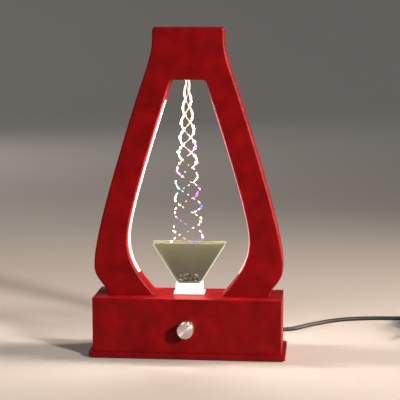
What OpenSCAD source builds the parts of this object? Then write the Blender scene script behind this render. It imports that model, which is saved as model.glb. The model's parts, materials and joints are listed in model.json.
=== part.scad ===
/* [Base] */
// Width of the base box
base_w = 190; // [174:1:230]
// Depth of the base box, front to back
base_d = 58; // [54:1:80]
// Height of the base box above the plinth
box_h = 54.5; // [50:0.5:80]
// Thickness of the boards round the box
wall = 7; // [6:0.5:8]
// Thickness of the top board
top_t = 8; // [6:0.5:10]
// Thickness of the plinth board
plinth_t = 5.3; // [4:0.1:8]
// How far the plinth stands out all round
plinth_lip = 3.8; // [2:0.2:8]
// Thickness of the non-slip pad
pad_t = 1.2; // [1:0.1:2]
// How far the pad lies in from the edge of the plinth
pad_inset = 2.5; // [1:0.5:4]

/* [Frame] */
// Height of the frame above the base
frame_h = 269; // [250:1:300]
// Thickness of the frame, both halves together
frame_t = 25; // [24:0.5:36]
// Thickness of the front half
cover_t = 7.5; // [6:0.5:9]
// Half of the width across the head
head_half = 35.4; // [33:0.2:42]
// Height of the head above the window
head_h = 52; // [48:1:60]
// Half of the width across the shoulders
shoulder_half = 52; // [49:0.5:58]
// How far the bulge of a leg stands past the end of the base
belly_proud = 0.4; // [-4:0.2:6]
// Height of the bulge above the base
belly_up = 31; // [27:0.5:36]
// Half of the distance between the outsides of the feet
foot_out = 81.7; // [78:0.1:86]
// Half of the distance between the insides of the feet
foot_in = 33.7; // [28:0.1:37]
// Half of the window's greatest width
win_half = 61.6; // [56:0.2:66]
// Height of the window's widest place above the base
win_up = 56; // [50:0.5:62]
// Half of the window's width at its top
win_top_half = 17.3; // [15:0.1:20]
// How far a leg leans out for each millimetre down
leg_lean = 0.32; // [0.28:0.01:0.36]
// Corner radius of the head
head_r = 3.5; // [2:0.5:8]
// Corner radius at the top of the window
win_r = 4; // [2:0.5:6]

/* [Light strips] */
// Width of a strip across the leg
strip_w = 10; // [8:0.5:12]
// Depth of its groove
groove_deep = 5; // [4.6:0.1:7]
// Height of a strip's lower end above the base
strip_low = 22; // [18:1:40]
// Distance from a strip's upper end to the top of the window
strip_top_gap = 20.5; // [12:0.5:40]
// How far the diffuser stands out of its groove
diffuser_proud = 0.9; // [0.1:0.1:2]
// Number of light chips on a strip
chip_count = 10; // [6:1:14]

/* [Funnel] */
// Width of the funnel's rim
rim_w = 75; // [60:0.2:80]
// Depth of the funnel's rim, front to back
rim_d = 19.4; // [18:0.2:26]
// Height of the rim above the base
rim_up = 52.4; // [46:0.2:60]
// Width of the funnel's neck
neck_w = 24.4; // [20:0.2:27]
// Depth of the funnel's neck
neck_d = 11.6; // [9:0.2:13]
// Thickness of the funnel's walls
funnel_wall = 2; // [1.5:0.1:2.5]
// Thickness of the collar's walls round the neck
collar_wall = 1; // [0.8:0.1:2]
// Height of the collar above its flange
collar_h = 9; // [8:0.5:14]
// How far the flange stands out round the collar
flange_lip = 1.9; // [1:0.1:3]
// Thickness of the flange
flange_t = 1.5; // [1:0.1:3]
// Thickness of the gasket under the flange
gasket_t = 0.8; // [0.5:0.1:1.5]
// Outer diameter of the drain spout
spout_d = 9; // [7:0.5:10]
// Bore of the drain spout
spout_bore = 5; // [4:0.5:6]

/* [Water] */
// Distance of the falling water behind the middle of the frame
fall_y = 4; // [3:0.5:5]
// Number of strands
strand_count = 3; // [2:1:4]
// Thickness of a strand
strand_d = 1.4; // [1:0.1:1.6]
// Height of one full twist
strand_pitch = 46; // [36:1:60]
// Sideways swing of the strands at the nozzle
swing_top = 2.5; // [2.4:0.1:3]
// Sideways swing of the strands in the funnel
swing_end = 16.1; // [10:0.1:18]
// Depth of the braid as a share of its width
braid_flat = 0.37; // [0.3:0.01:0.38]
// Outer diameter of the riser hose
hose_d = 6; // [5:0.5:7]
// Thickness of the hose's wall
hose_wall = 1; // [0.8:0.1:1.2]
// Diameter of the pump
pump_d = 24; // [22:0.5:25]
// Length of the pump's motor body
pump_l = 28; // [24:1:32]
// Length of the pump's volute
volute_l = 9; // [8:0.5:11]
// Thickness of the tank's walls
tank_wall = 2; // [1.5:0.1:2.5]
// Thickness of the tank's lid
lid_t = 2; // [1.5:0.1:3]

/* [Control] */
// Diameter of the knob
knob_d = 16; // [15:0.5:22]
// Length of the knob
knob_l = 13.2; // [12:0.2:18]
// Height of the knob's axis above the plinth
knob_up = 25.5; // [22:0.5:30]
// Diameter of the potentiometer's can
pot_d = 16.4; // [14:0.2:18]
// Length of the potentiometer's can
pot_l = 7; // [6:0.2:8]
// Diameter of the potentiometer's shaft
shaft_d = 6; // [5:0.5:6]
// Width of the control board
board_w = 48; // [46:1:50]
// Height of the control board
board_h = 34; // [30:1:36]

/* [Cord] */
// Diameter of the cord
cord_d = 4.4; // [3.6:0.1:4.6]
// Distance of the gland from the middle of the base
gland_x = 50; // [46:1:54]
// Height of the gland above the plinth
gland_up = 6.5; // [6.5:0.5:9]
// Length of the gland's tapered boot
boot_l = 22; // [20:1:24]
// Number of turns in the coil
coil_turns = 7.25; // [5.25:1:7.25]
// Space between the turns of the coil
coil_space = 0.6; // [0.5:0.1:0.8]
// Thickness of the tie round the coil
tie_t = 0.6; // [0.4:0.1:1]
// Width of the tie round the coil
tie_w = 8; // [5:1:12]

/* [Hidden] */
$fn = 48;

// Clearance of a piece that drops into its seat, radial clearance of a turning fit, and overcut of a hole
slip = 0.2;
run = 0.05;
over = 1;

// Levels and inner faces of the base
box_z = pad_t + plinth_t;
top_z = box_z + box_h;
top_under = top_z - top_t;
in_x = base_w / 2 - wall;
in_y = base_d / 2 - wall;
front_y = -base_d / 2;
rear_y = base_d / 2;

// Wood screws: shank, head and the places of those that hold the plinth
screw_d = 3;
screw_head_d = 6;
screw_head_h = 2;
plinth_screw_l = 18;
plinth_screw_in = 15;
plinth_screw_xy = [for (x = [-1, 1], y = [-1, 1])
    [x * (base_w / 2 - plinth_screw_in), y * (base_d / 2 - wall / 2)]];

// Curves of the frame, as [x, height above the base], for the right half
function bez(p, t) = let (u = 1 - t)
    u * u * u * p[0] + 3 * u * u * t * p[1] + 3 * u * t * t * p[2] + t * t * t * p[3];
function trace(p, n) = [for (i = [0:n]) bez(p, i / n)];
function rest(v) = [for (i = [1:len(v) - 1]) v[i]];
function back(v) = [for (i = [len(v) - 1:-1:0]) v[i]];
function flip(v) = [for (p = v) [-p[0], p[1]]];
function unit(v) = v / norm(v);
function heading(v, i) = unit(v[min(i + 1, len(v) - 1)] - v[max(i - 1, 0)]);
function beside(v, d) = [for (i = [0:len(v) - 1]) let (h = heading(v, i)) v[i] + d * [h[1], -h[0]]];
function band(v, d0, d1) = concat(beside(v, d0), back(beside(v, d1)));
function find(p, z, lo = 0, hi = 1, k = 24) = let (t = (lo + hi) / 2)
    k == 0 ? t : bez(p, t)[1] < z ? find(p, z, t, hi, k - 1) : find(p, z, lo, t, k - 1);
function at_height(low, high, z) = z < low[3][1] ? bez(low, find(low, z)) : bez(high, find(high, z));

win_top = frame_h - head_h;
shoulder_drop = 20;
shoulder = [shoulder_half, win_top - shoulder_drop];
belly_half = base_w / 2 + belly_proud;
foot_curve = [[foot_out, 1.5], [foot_out + 0.8, 9.5], [belly_half + 0.8, belly_up - 15.5],
    [belly_half, belly_up]];
leg_curve = [[belly_half, belly_up], [belly_half, belly_up + 25], shoulder + 75 * [leg_lean, -1], shoulder];
shoulder_curve = [shoulder, shoulder + 28 * [-leg_lean, 1], [head_half + 0.4, frame_h - 29],
    [head_half, frame_h - 11]];
head_corner = [for (a = [15:15:90])
    [head_half - head_r + head_r * cos(a), frame_h - head_r + head_r * sin(a)]];
toe_curve = [[foot_in, 0], [foot_in + 16.3, 18], [win_half, win_up - 22], [win_half, win_up]];
win_end = [win_top_half + leg_lean * win_r, win_top - win_r];
side_curve = [[win_half, win_up], [win_half, win_up + 24], win_end + 68 * [leg_lean, -1], win_end];
win_corner_bend = [win_end, [win_top_half + leg_lean * win_r / 3, win_top - win_r / 3],
    [win_top_half - win_r / 3, win_top], [win_top_half - win_r, win_top]];
outer_half = concat([[foot_out, 0]], trace(foot_curve, 14), rest(trace(leg_curve, 20)),
    rest(trace(shoulder_curve, 12)), [[head_half, frame_h - head_r]], head_corner);
inner_half = concat(trace(toe_curve, 14), rest(trace(side_curve, 20)), rest(trace(win_corner_bend, 5)));
frame_outline = concat(outer_half, back(flip(outer_half)), flip(inner_half), back(inner_half));
split_y = -frame_t / 2 + cover_t;
frame_rear_y = frame_t / 2;

// Light strips: points up the inner face of a leg, evenly spaced in height, and the layers in the groove
tape_t = 0.6;
chip_size = 5;
chip_h = 1.6;
chip_room = 0.3;
strip_high = win_top - strip_top_gap;
strip_steps = 3 * chip_count;
strip_pts = [for (i = [0:strip_steps])
    at_height(toe_curve, side_curve, strip_low + (strip_high - strip_low) * i / strip_steps)];
strip_y = split_y + strip_w / 2;
chip_base = groove_deep - tape_t;
diffuser_back = chip_base - chip_h - chip_room;

// Channel curve up the middle of a leg, which the hose follows on the left and a lead on the right
mid_foot = (foot_in + foot_out) / 2;
mid_belly = [(belly_half + win_half + groove_deep) / 2, (belly_up + win_up) / 2];
mid_shoulder = [(shoulder_half + win_top_half + leg_lean * shoulder_drop + groove_deep) / 2, shoulder[1]];
nozzle_in_up = 16;
pocket_half = 14;
mid_low = [[mid_foot, 0], [mid_foot + 6.4, 14], mid_belly - [0, 18], mid_belly];
mid_high = [mid_belly, mid_belly + [0, 31], mid_shoulder + 72 * [leg_lean, -1], mid_shoulder];
mid_head = [mid_shoulder, mid_shoulder + 25 * [-leg_lean, 1], [pocket_half + 12, win_top + nozzle_in_up],
    [pocket_half, win_top + nozzle_in_up]];
mid_pts = concat(trace(mid_low, 8), rest(trace(mid_high, 12)), rest(trace(mid_head, 8)));
hose_room = hose_d / 2 + slip;

// Inner leads: thickness, and their places in the frame and on the terminal block
lead_d = 2;
lead_room = lead_d / 2 + slip;
lead_y = split_y + lead_room;
led_lead_x = mid_foot - 9.7;
led_lead_top = beside(strip_pts, groove_deep - lead_room)[0];

// Screws through the frame's rear half, beside the channel, and through the top board into the feet
frame_screw_l = frame_t - cover_t + 4;
frame_screw_up = [40, 120, 190];
frame_screw_head_xz = [25, frame_h - 19];
frame_screw_xz = concat([for (z = frame_screw_up)
    [(at_height(mid_low, mid_high, z)[0] + hose_room + at_height(foot_curve, leg_curve, z)[0]) / 2, z]],
    [frame_screw_head_xz]);
leg_screw_d = 3.5;
leg_screw_up = 16;
leg_screw_y = fall_y + 1;
leg_screw_x = [mid_foot - 7.6, foot_out - 4.7];

// Head: pocket, nozzle and motor, as heights above the window's top
pocket_low = 11;
pocket_high = 42;
pocket_y = fall_y + 6.5;
nozzle_d = 8;
nozzle_body_d = 11;
nozzle_tip = 0.6;
nozzle_body_h = 11;
grommet_t = 2;
barb_l = 8;
barb_d = 2 * (hose_d / 2 - hose_wall) - 2 * run;
jet_d = 1.1;
motor_d = 7;
motor_l = 9;
motor_up = pocket_low + nozzle_body_h + 1.5 + motor_d / 2;
motor_shaft_d = 1.5;
nozzle_bore = 5.6;
nozzle_floor = 3;
jet_deep = nozzle_floor + 2;
barb_wall = 0.7;
weight_l = 3;
weight_r = 4.2;
weight_front = split_y + 0.7;
motor_front = weight_front + weight_l + 0.3;
motor_z = top_z + win_top + motor_up;

// Falling water: the strands swing wider as they drop
tip_z = top_z + win_top + nozzle_tip;
rim_z = top_z + rim_up;
strand_end = 4.4;
fall = tip_z - strand_d - (rim_z - strand_end);
twist_start = 20;
twist_rings = 20;
strand_steps = ceil(twist_rings * fall / strand_pitch);
function swing(s) = swing_top + (swing_end - swing_top) * (1.41 * s - 0.41 * s * s);
function strand_at(s, k) =
    let (a = 360 * (s * fall - twist_start) / strand_pitch + 360 * k / strand_count)
    [swing(s) * cos(a), fall_y + braid_flat * swing(s) * sin(a), tip_z - strand_d - s * fall];
function strand_pts(k) = concat([strand_at(0, k) + [0, 0, strand_d]],
    [for (i = [0:strand_steps]) strand_at(i / strand_steps, k)]);

// Funnel and collar
collar_w = neck_w + 2 * slip + 2 * collar_wall;
collar_d = neck_d + 2 * slip + 2 * collar_wall;
flange_z = top_z + gasket_t;
collar_z = flange_z + flange_t;
seat_z = collar_z + 3;
collar_top = collar_z + collar_h;
strainer_t = 1.2;
strainer_hole = 1.4;
spout_dip = 2;

// Tank, lid and pump
tank_gap = 2;
tank_past = 16;
lid_room = 4.5;
pump_room = 0.5;
tank_d = pump_d + 2 * pump_room + 2 * tank_wall;
tank_top = top_under - lid_room - lid_t;
tank_left = -in_x + tank_gap;
lid_lip = 1.5;
hose_x = -mid_foot;
pump_foot = 1.5;
pump_z = box_z + tank_wall + pump_foot + pump_d / 2;
volute_x = hose_x - volute_l / 2;
pump_x = hose_x + volute_l / 2;
volute_bore = pump_d - 5;
volute_floor = 2;
impeller_gap = 0.6;
impeller_d = volute_bore - 3;
hub_d = 8;
blade_count = 6;
pin_d = 2;
pin_deep = 4;
well_d = 11;
well_l = 19;
inlet_d = 5;
barb_up = 8;
hose_low = pump_z + pump_d / 2 + 1;
pump_lead_x = pump_x + pump_l + 7;

// Control board and its parts
board_end_gap = 14;
board_x = in_x - board_end_gap - board_w;
board_z = box_z + 5.5;
board_t = 1.6;
standoff_l = 3;
standoff_d = 5;
board_y = -in_y + standoff_l;
board_hole_in = 3.5;
board_screw_d = 2;
board_screw_head_d = 4;
board_screw_head_h = 1.6;
board_screw_l = board_t + standoff_l + 3;
board_hole_x = [board_x + board_hole_in, board_x + board_w - board_hole_in];
board_hole_z = [board_z + board_hole_in, board_z + board_h - board_hole_in];
parts_y = board_y + board_t;
term_side = 1.5;
term_w = board_w - 2 * board_hole_in - board_screw_head_d - 2 * term_side;
term_d = 8;
term_h = 9;
term_top = board_z + board_h;
term_y = parts_y + term_d / 2;
term_count = 5;
term_edge = 3;
term_pitch = (term_w - 2 * term_edge) / (term_count - 1);
function term_x(i) = board_x + board_w / 2 + (i - 2) * term_pitch;

// Potentiometer and knob
knob_z = box_z + knob_up;
pot_sink = 4;
pot_y = -in_y - pot_sink;
bushing_d = 7;
nut_t = 2.2;
nut_d = 11;
bushing_end = front_y - nut_t - 0.5;
knob_gap = 0.8;
knob_rear = front_y - knob_gap;
knob_front = knob_rear - knob_l;
knob_skin = 1.8;
knob_recess_d = nut_d + 1.4;
knob_recess = bushing_end - 0.6;
set_screw_d = 3;
set_screw_y = (knob_recess + knob_front + knob_skin) / 2;

// Cord: the stretch that lies on the table, the coil and the tail to the plug
gland_z = box_z + gland_up;
boot_end = rear_y + boot_l;
gland_flange = 2;
gland_r = 4;
gland_flange_r = 6;
cord_r = cord_d / 2;
coil_pitch = cord_d + coil_space;
coil_mid_r = 26.5;
coil_in = coil_mid_r - coil_pitch * coil_turns / 4;
coil_out = coil_in + coil_pitch * coil_turns / 2;
coil_xy = [260, 168 - coil_out];
coil_z = cord_r + tie_t + 0.3;
coil_rings = 24;
coil_steps = coil_turns * coil_rings;
function coil_at(w) =
    let (m = w - coil_turns / 2, r = coil_in + coil_pitch * abs(m), a = 90 - 360 * w,
        c = max(0, min(1, 2 * m + 0.5)))
    [coil_xy[0] + r * cos(a), coil_xy[1] + r * sin(a), coil_z + coil_pitch * (1 - cos(180 * c)) / 2];
coil_start = coil_at(0) - [cord_d, 0, 0];
coil_end = coil_at(coil_turns) - [0, cord_d, 0];
coil_pts = concat([coil_start], [for (i = [0:coil_steps]) coil_at(i / coil_rings)], [coil_end]);
coil_gap = min([for (i = [0:coil_steps], j = [i + coil_rings / 2:coil_steps])
    norm(coil_at(i / coil_rings) - coil_at(j / coil_rings))]) - cord_d;
echo(str("Least gap between the turns of the coil: ", coil_gap, " mm"));
cord_pts = concat(
    [[gland_x, boot_end, gland_z], [gland_x, boot_end + 7, gland_z]],
    [[50, 66, 11.4], [51.5, 75, 8], [56, 84, 4.6], [64, 91.5, 2.7], [73, 96, 2.2], [83, 99, 2.2],
        [94, 101.4, 2.2], [103, 105.4, 2.2], [111, 113.6, 2.2], [119, 123.6, 2.2], [127.5, 132.2, 2.2],
        [136, 140.4, 2.2], [145, 148, 2.2], [156, 155, 2.2], [169, 160.6, 2.2], [183, 164.4, 2.2],
        [197, 166.7, 2.2], [211, 167.8, 2.2], [225, 168, 2.3], [238, 168, 2.7], [247, 168, 3.1]],
    [coil_start]);
plug_l = 26;
plug_w = 16;
plug_h = 8;
plug_boot_l = 10;
shell_l = 12;
shell_w = 12;
shell_h = 4.5;
shell_t = 0.4;
plug_z = plug_h / 2;
tail_pts = [coil_end, coil_end - [0, cord_d, 0], [295.6, 118, 7.6], [295.2, 109, 6.7], [293, 99, 5.4],
    [288.4, 89.4, 4.3], [281.6, 83.8, 4], [274, 82, 4], [269, 82, 4]];
plug_xy = [269, 82];
tie_clear = 0.3;
tie_in = coil_in - cord_r - tie_clear - 0.6;
tie_out = coil_out + cord_r + tie_clear;
tie_top = coil_z + coil_pitch + cord_r + tie_clear;

// Tubes: rings of points round a path, joined by triangles
function ring(p, h, r, sides, ref) = let (s = unit(cross(ref, h)), u = cross(h, s))
    [for (j = [0:sides - 1]) p + r * (cos(360 * j / sides) * s + sin(360 * j / sides) * u)];
function rings(v, r, sides, ref) = [for (i = [0:len(v) - 1]) each ring(v[i], heading(v, i), r, sides, ref)];
function skin(n, sides, first, out) = [for (i = [0:n - 2], j = [0:sides - 1])
    let (a = first + i * sides + j, b = first + i * sides + (j + 1) % sides)
    each out ? [[a, a + sides, b + sides], [a, b + sides, b]]
        : [[a, b + sides, a + sides], [a, b, b + sides]]];
function cap(first, sides, end) = [for (j = [1:sides - 2])
    end ? [first, first + j + 1, first + j] : [first, first + j, first + j + 1]];
function lip(outer, inner, sides, end) = [for (j = [0:sides - 1])
    let (k = (j + 1) % sides)
    each end ? [[outer + j, inner + j, inner + k], [outer + j, inner + k, outer + k]]
        : [[outer + j, inner + k, inner + j], [outer + j, outer + k, inner + k]]];
module tube(v, d, sides, ref) {
    last = (len(v) - 1) * sides;
    polyhedron(rings(v, d / 2, sides, ref),
        concat(skin(len(v), sides, 0, true), cap(0, sides, false), cap(last, sides, true)));
}
module pipe(v, d, bore, sides, ref) {
    count = len(v) * sides;
    last = count - sides;
    polyhedron(concat(rings(v, d / 2, sides, ref), rings(v, bore / 2, sides, ref)),
        concat(skin(len(v), sides, 0, true), skin(len(v), sides, count, false),
            lip(0, count, sides, false), lip(last, count + last, sides, true)));
}

// Shared solids
module block(x0, x1, y0, y1, z0, z1) {
    translate([x0, y0, z0]) cube([x1 - x0, y1 - y0, z1 - z0]);
}
module on_axis(w, d, z0, z1) {
    block(-w / 2, w / 2, fall_y - d / 2, fall_y + d / 2, z0, z1);
}
module upright(y0, y1) {
    translate([0, y1, top_z]) rotate([90, 0, 0]) linear_extrude(y1 - y0) children();
}
module along_x(x0, x1, d, y, z) {
    translate([x0, y, z]) rotate([0, 90, 0]) cylinder(h = x1 - x0, d = d);
}
module along_y(y0, y1, d, x, z) {
    translate([x, y0, z]) rotate([-90, 0, 0]) cylinder(h = y1 - y0, d = d);
}
module frustum(w0, w1, d0, d1, z0, z1) {
    intersection() {
        translate([0, fall_y + d1, 0]) rotate([90, 0, 0]) linear_extrude(2 * d1)
            polygon([[-w0 / 2, z0], [w0 / 2, z0], [w1 / 2, z1], [-w1 / 2, z1]]);
        translate([-w1, fall_y, 0]) rotate([90, 0, 90]) linear_extrude(2 * w1)
            polygon([[-d0 / 2, z0], [d0 / 2, z0], [d1 / 2, z1], [-d1 / 2, z1]]);
    }
}
module wood_screw(l, d) {
    cylinder(h = screw_head_h, d1 = screw_head_d, d2 = d);
    cylinder(h = l, d = d);
}
module screw_hole(l, d) {
    translate([0, 0, -over]) cylinder(h = over, d = screw_head_d + 2 * run);
    cylinder(h = screw_head_h, d1 = screw_head_d + 2 * run, d2 = d + 2 * run);
    cylinder(h = l, d = d + 2 * run);
}
module at_frame_screws() {
    for (side = [-1, 1], p = frame_screw_xz)
        translate([side * p[0], frame_rear_y, top_z + p[1]]) rotate([90, 0, 0]) children();
}
module at_leg_screws() {
    for (side = [-1, 1], x = leg_screw_x)
        translate([side * x, leg_screw_y, top_under - screw_head_h]) children();
}
module at_plinth_screws() {
    for (p = plinth_screw_xy) translate([p[0], p[1], pad_t]) children();
}
module at_board_holes() {
    for (x = board_hole_x, z = board_hole_z) translate([x, parts_y, z]) rotate([90, 0, 0]) children();
}

// Base
module non_slip_pad() {
    w = base_w + 2 * (plinth_lip - pad_inset);
    d = base_d + 2 * (plinth_lip - pad_inset);
    color("dimgray") difference() {
        block(-w / 2, w / 2, -d / 2, d / 2, 0, pad_t);
        for (p = plinth_screw_xy)
            translate([p[0], p[1], -over]) cylinder(h = pad_t + 2 * over, d = screw_head_d + 1);
    }
}
module plinth_board() {
    color("firebrick") difference() {
        block(-base_w / 2 - plinth_lip, base_w / 2 + plinth_lip, front_y - plinth_lip, rear_y + plinth_lip,
            pad_t, box_z);
        at_plinth_screws() screw_hole(plinth_screw_l, screw_d);
    }
}
module plinth_screws() {
    color("silver") at_plinth_screws() wood_screw(plinth_screw_l, screw_d);
}
module front_board() {
    color("firebrick") difference() {
        block(-base_w / 2, base_w / 2, front_y, -in_y, box_z, top_under);
        along_y(front_y - over, -in_y, bushing_d + 2 * run, 0, knob_z);
        along_y(pot_y, -in_y + over, pot_d + 2 * slip, 0, knob_z);
        at_plinth_screws() screw_hole(plinth_screw_l, screw_d);
        at_board_holes() cylinder(h = board_screw_l, d = board_screw_d + 2 * run);
    }
}
module rear_board() {
    color("firebrick") difference() {
        block(-base_w / 2, base_w / 2, in_y, rear_y, box_z, top_under);
        along_y(in_y - over, rear_y + over, 2 * gland_r + 2 * run, gland_x, gland_z);
        at_plinth_screws() screw_hole(plinth_screw_l, screw_d);
    }
}
module end_board(side) {
    mid = side * (base_w / 2 - wall / 2);
    color("firebrick") block(mid - wall / 2, mid + wall / 2, -in_y, in_y, box_z, top_under);
}
module left_end_board() {
    end_board(-1);
}
module right_end_board() {
    end_board(1);
}
module top_board() {
    color("firebrick") difference() {
        block(-base_w / 2, base_w / 2, front_y, rear_y, top_under, top_z);
        at_leg_screws() cylinder(h = 2 * top_t, d = leg_screw_d + 2 * run);
        translate([hose_x, fall_y, top_under - over]) cylinder(h = top_t + 2 * over, r = hose_room);
        translate([0, fall_y, top_under - over]) cylinder(h = top_t + 2 * over, d = spout_d + 2 * slip);
        for (x = [-led_lead_x, led_lead_x, mid_foot])
            translate([x, lead_y, top_under - over]) cylinder(h = top_t + 2 * over, r = lead_room);
    }
}

// Frame
module frame_cover() {
    color("firebrick") difference() {
        upright(-frame_rear_y, split_y) polygon(frame_outline);
        at_frame_screws() cylinder(h = frame_screw_l, d = screw_d + 2 * run);
    }
}
module mirrored() {
    children();
    mirror([1, 0, 0]) children();
}
module frame_body() {
    lead_slot = [[led_lead_x, -over], [led_lead_x, 2], led_lead_top];
    channel = concat([[mid_foot, -over]], mid_pts, [[0, win_top + nozzle_in_up]]);
    lead_deep = split_y + 2 * lead_room;
    color("firebrick") difference() {
        upright(split_y, frame_rear_y) polygon(frame_outline);
        mirrored() upright(split_y - over, split_y + strip_w) polygon(band(strip_pts, -over, groove_deep));
        mirrored() upright(split_y - over, lead_deep) polygon(band(lead_slot, -lead_room, lead_room));
        mirror([1, 0, 0]) upright(split_y - over, fall_y + hose_room)
            polygon(band(channel, -hose_room, hose_room));
        upright(split_y - over, lead_deep) polygon(band(channel, -lead_room, lead_room));
        block(-pocket_half, pocket_half, split_y - over, pocket_y, top_z + win_top + pocket_low,
            top_z + win_top + pocket_high);
        translate([0, fall_y, top_z + win_top - over])
            cylinder(h = pocket_low + 2 * over, d = nozzle_d + 2 * grommet_t + 2 * run);
        at_frame_screws() screw_hole(frame_screw_l, screw_d);
        at_leg_screws() cylinder(h = screw_head_h + top_t + leg_screw_up, d = leg_screw_d + 2 * run);
    }
}
module frame_screws() {
    color("silver") at_frame_screws() wood_screw(frame_screw_l, screw_d);
}
module leg_screws() {
    color("silver") at_leg_screws() {
        cylinder(h = screw_head_h, d = 2 * leg_screw_d);
        cylinder(h = screw_head_h + top_t + leg_screw_up, d = leg_screw_d);
    }
}

// Light strips
module led_tape() {
    color("ivory") upright(split_y + slip, split_y + strip_w - slip)
        polygon(band(strip_pts, chip_base, groove_deep));
}
module led_chips() {
    color("lightyellow") for (k = [0:chip_count - 1]) {
        i = 3 * k + 1;
        p = (strip_pts[i] + strip_pts[i + 1]) / 2;
        h = unit(strip_pts[i + 1] - strip_pts[i]);
        q = p + (chip_base - run) * [h[1], -h[0]];
        translate([q[0], strip_y, top_z + q[1]]) rotate([0, -atan2(h[1], h[0]), 0])
            translate([-chip_size / 2, -chip_size / 2, 0]) cube([chip_size, chip_size, chip_h]);
    }
}
module diffuser() {
    color("white") upright(split_y + slip, split_y + strip_w - slip)
        polygon(band(strip_pts, -diffuser_proud, diffuser_back));
}
module left_led_tape() {
    mirror([1, 0, 0]) led_tape();
}
module right_led_tape() {
    led_tape();
}
module left_led_chips() {
    mirror([1, 0, 0]) led_chips();
}
module right_led_chips() {
    led_chips();
}
module left_diffuser() {
    mirror([1, 0, 0]) diffuser();
}
module right_diffuser() {
    diffuser();
}

// Funnel
module funnel() {
    w = 2 * funnel_wall;
    more_w = (rim_w - neck_w) / (rim_z - collar_top) * over;
    more_d = (rim_d - neck_d) / (rim_z - collar_top) * over;
    color("darkseagreen", 0.6) difference() {
        union() {
            frustum(neck_w, rim_w, neck_d, rim_d, collar_top, rim_z);
            on_axis(neck_w, neck_d, seat_z, collar_top);
        }
        frustum(neck_w - w, rim_w - w + more_w, neck_d - w, rim_d - w + more_d, collar_top, rim_z + over);
        on_axis(neck_w - w, neck_d - w, seat_z - over, collar_top + slip);
    }
}
module funnel_collar() {
    spout_z = top_under - lid_room - lid_t - spout_dip;
    color("white") difference() {
        union() {
            on_axis(collar_w + 2 * flange_lip, collar_d + 2 * flange_lip, flange_z, collar_z);
            on_axis(collar_w, collar_d, collar_z, collar_top);
            translate([0, fall_y, spout_z]) cylinder(h = flange_z - spout_z, d = spout_d);
        }
        on_axis(neck_w + 2 * slip, neck_d + 2 * slip, seat_z, collar_top + over);
        translate([0, fall_y, spout_z - over]) cylinder(h = seat_z - spout_z + 2 * over, d = spout_bore);
    }
}
module collar_gasket() {
    color("gainsboro") difference() {
        on_axis(collar_w + 2 * flange_lip, collar_d + 2 * flange_lip, top_z, flange_z);
        translate([0, fall_y, top_z - over]) cylinder(h = gasket_t + 2 * over, d = spout_d + 2 * run);
    }
}
module drain_strainer() {
    w = neck_w - 2 * funnel_wall - 2 * slip;
    d = neck_d - 2 * funnel_wall - 2 * slip;
    color("silver") difference() {
        on_axis(w, d, seat_z, seat_z + strainer_t);
        for (x = [-3:3], y = [-1, 1]) translate([x * w / 8, fall_y + y * d / 4, seat_z - over])
            cylinder(h = strainer_t + 2 * over, d = strainer_hole);
    }
}

// Tank and pump
module water_tank() {
    y0 = fall_y - tank_d / 2;
    y1 = fall_y + tank_d / 2;
    color("lightsteelblue") difference() {
        block(tank_left, tank_past, y0, y1, box_z, tank_top);
        block(tank_left + tank_wall, tank_past - tank_wall, y0 + tank_wall, y1 - tank_wall, box_z + tank_wall,
            tank_top + over);
    }
}
module tank_lid() {
    y0 = fall_y - tank_d / 2;
    y1 = fall_y + tank_d / 2;
    inset = tank_wall + slip;
    lip_in = inset + 1.2;
    low = tank_top - lid_lip;
    color("lightsteelblue") difference() {
        union() {
            block(tank_left, tank_past, y0, y1, tank_top, tank_top + lid_t);
            difference() {
                block(tank_left + inset, tank_past - inset, y0 + inset, y1 - inset, low, tank_top);
                block(tank_left + lip_in, tank_past - lip_in, y0 + lip_in, y1 - lip_in, low - over, tank_top);
            }
        }
        for (h = [[hose_x, 2 * hose_room], [0, spout_d + 2 * slip], [pump_lead_x, 2 * lead_room]])
            translate([h[0], fall_y, tank_top - over]) cylinder(h = lid_t + 2 * over, d = h[1]);
    }
}
module pump_body() {
    color("dimgray") difference() {
        union() {
            along_x(pump_x, pump_x + pump_l, pump_d, fall_y, pump_z);
            block(pump_x + 4, pump_x + pump_l - 4, fall_y - 8, fall_y + 8, box_z + tank_wall, pump_z - 6);
        }
        along_x(pump_x - over, pump_x + well_l, well_d, fall_y, pump_z);
        along_x(pump_x, pump_x + well_l + pin_deep, pin_d + 2 * run, fall_y, pump_z);
    }
}
module pump_volute() {
    color("darkslategray") difference() {
        union() {
            along_x(volute_x, pump_x, pump_d, fall_y, pump_z);
            along_x(volute_x - 3, volute_x, inlet_d + 3, fall_y, pump_z);
            translate([hose_x, fall_y, pump_z]) cylinder(h = pump_d / 2 + barb_up, d = barb_d);
        }
        along_x(volute_x + volute_floor, pump_x + over, volute_bore, fall_y, pump_z);
        along_x(volute_x - 3 - over, pump_x, inlet_d, fall_y, pump_z);
        translate([hose_x, fall_y, pump_z])
            cylinder(h = pump_d / 2 + barb_up + over, d = barb_d - 2 * barb_wall);
    }
}
module pump_pin() {
    x0 = volute_x + volute_floor + impeller_gap;
    color("silver") along_x(x0, pump_x + well_l + pin_deep, pin_d, fall_y, pump_z);
}
module pump_impeller() {
    x0 = volute_x + volute_floor + impeller_gap;
    x1 = pump_x - impeller_gap;
    color("white") difference() {
        union() {
            along_x(x0, pump_x + 1, hub_d, fall_y, pump_z);
            along_x(x1 - 1.2, x1, impeller_d, fall_y, pump_z);
            for (k = [0:blade_count - 1]) translate([0, fall_y, pump_z]) rotate([360 * k / blade_count, 0, 0])
                block(x0, x1 - 1, -0.6, 0.6, hub_d / 2 - 0.5, impeller_d / 2 - 0.3);
        }
        along_x(x0 - over, pump_x + 2, pin_d + 2 * run, fall_y, pump_z);
    }
}
module rotor_magnet() {
    color("black") difference() {
        along_x(pump_x + 1, pump_x + well_l - impeller_gap, well_d - 1, fall_y, pump_z);
        along_x(pump_x, pump_x + well_l, pin_d + 2 * run, fall_y, pump_z);
    }
}
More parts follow.
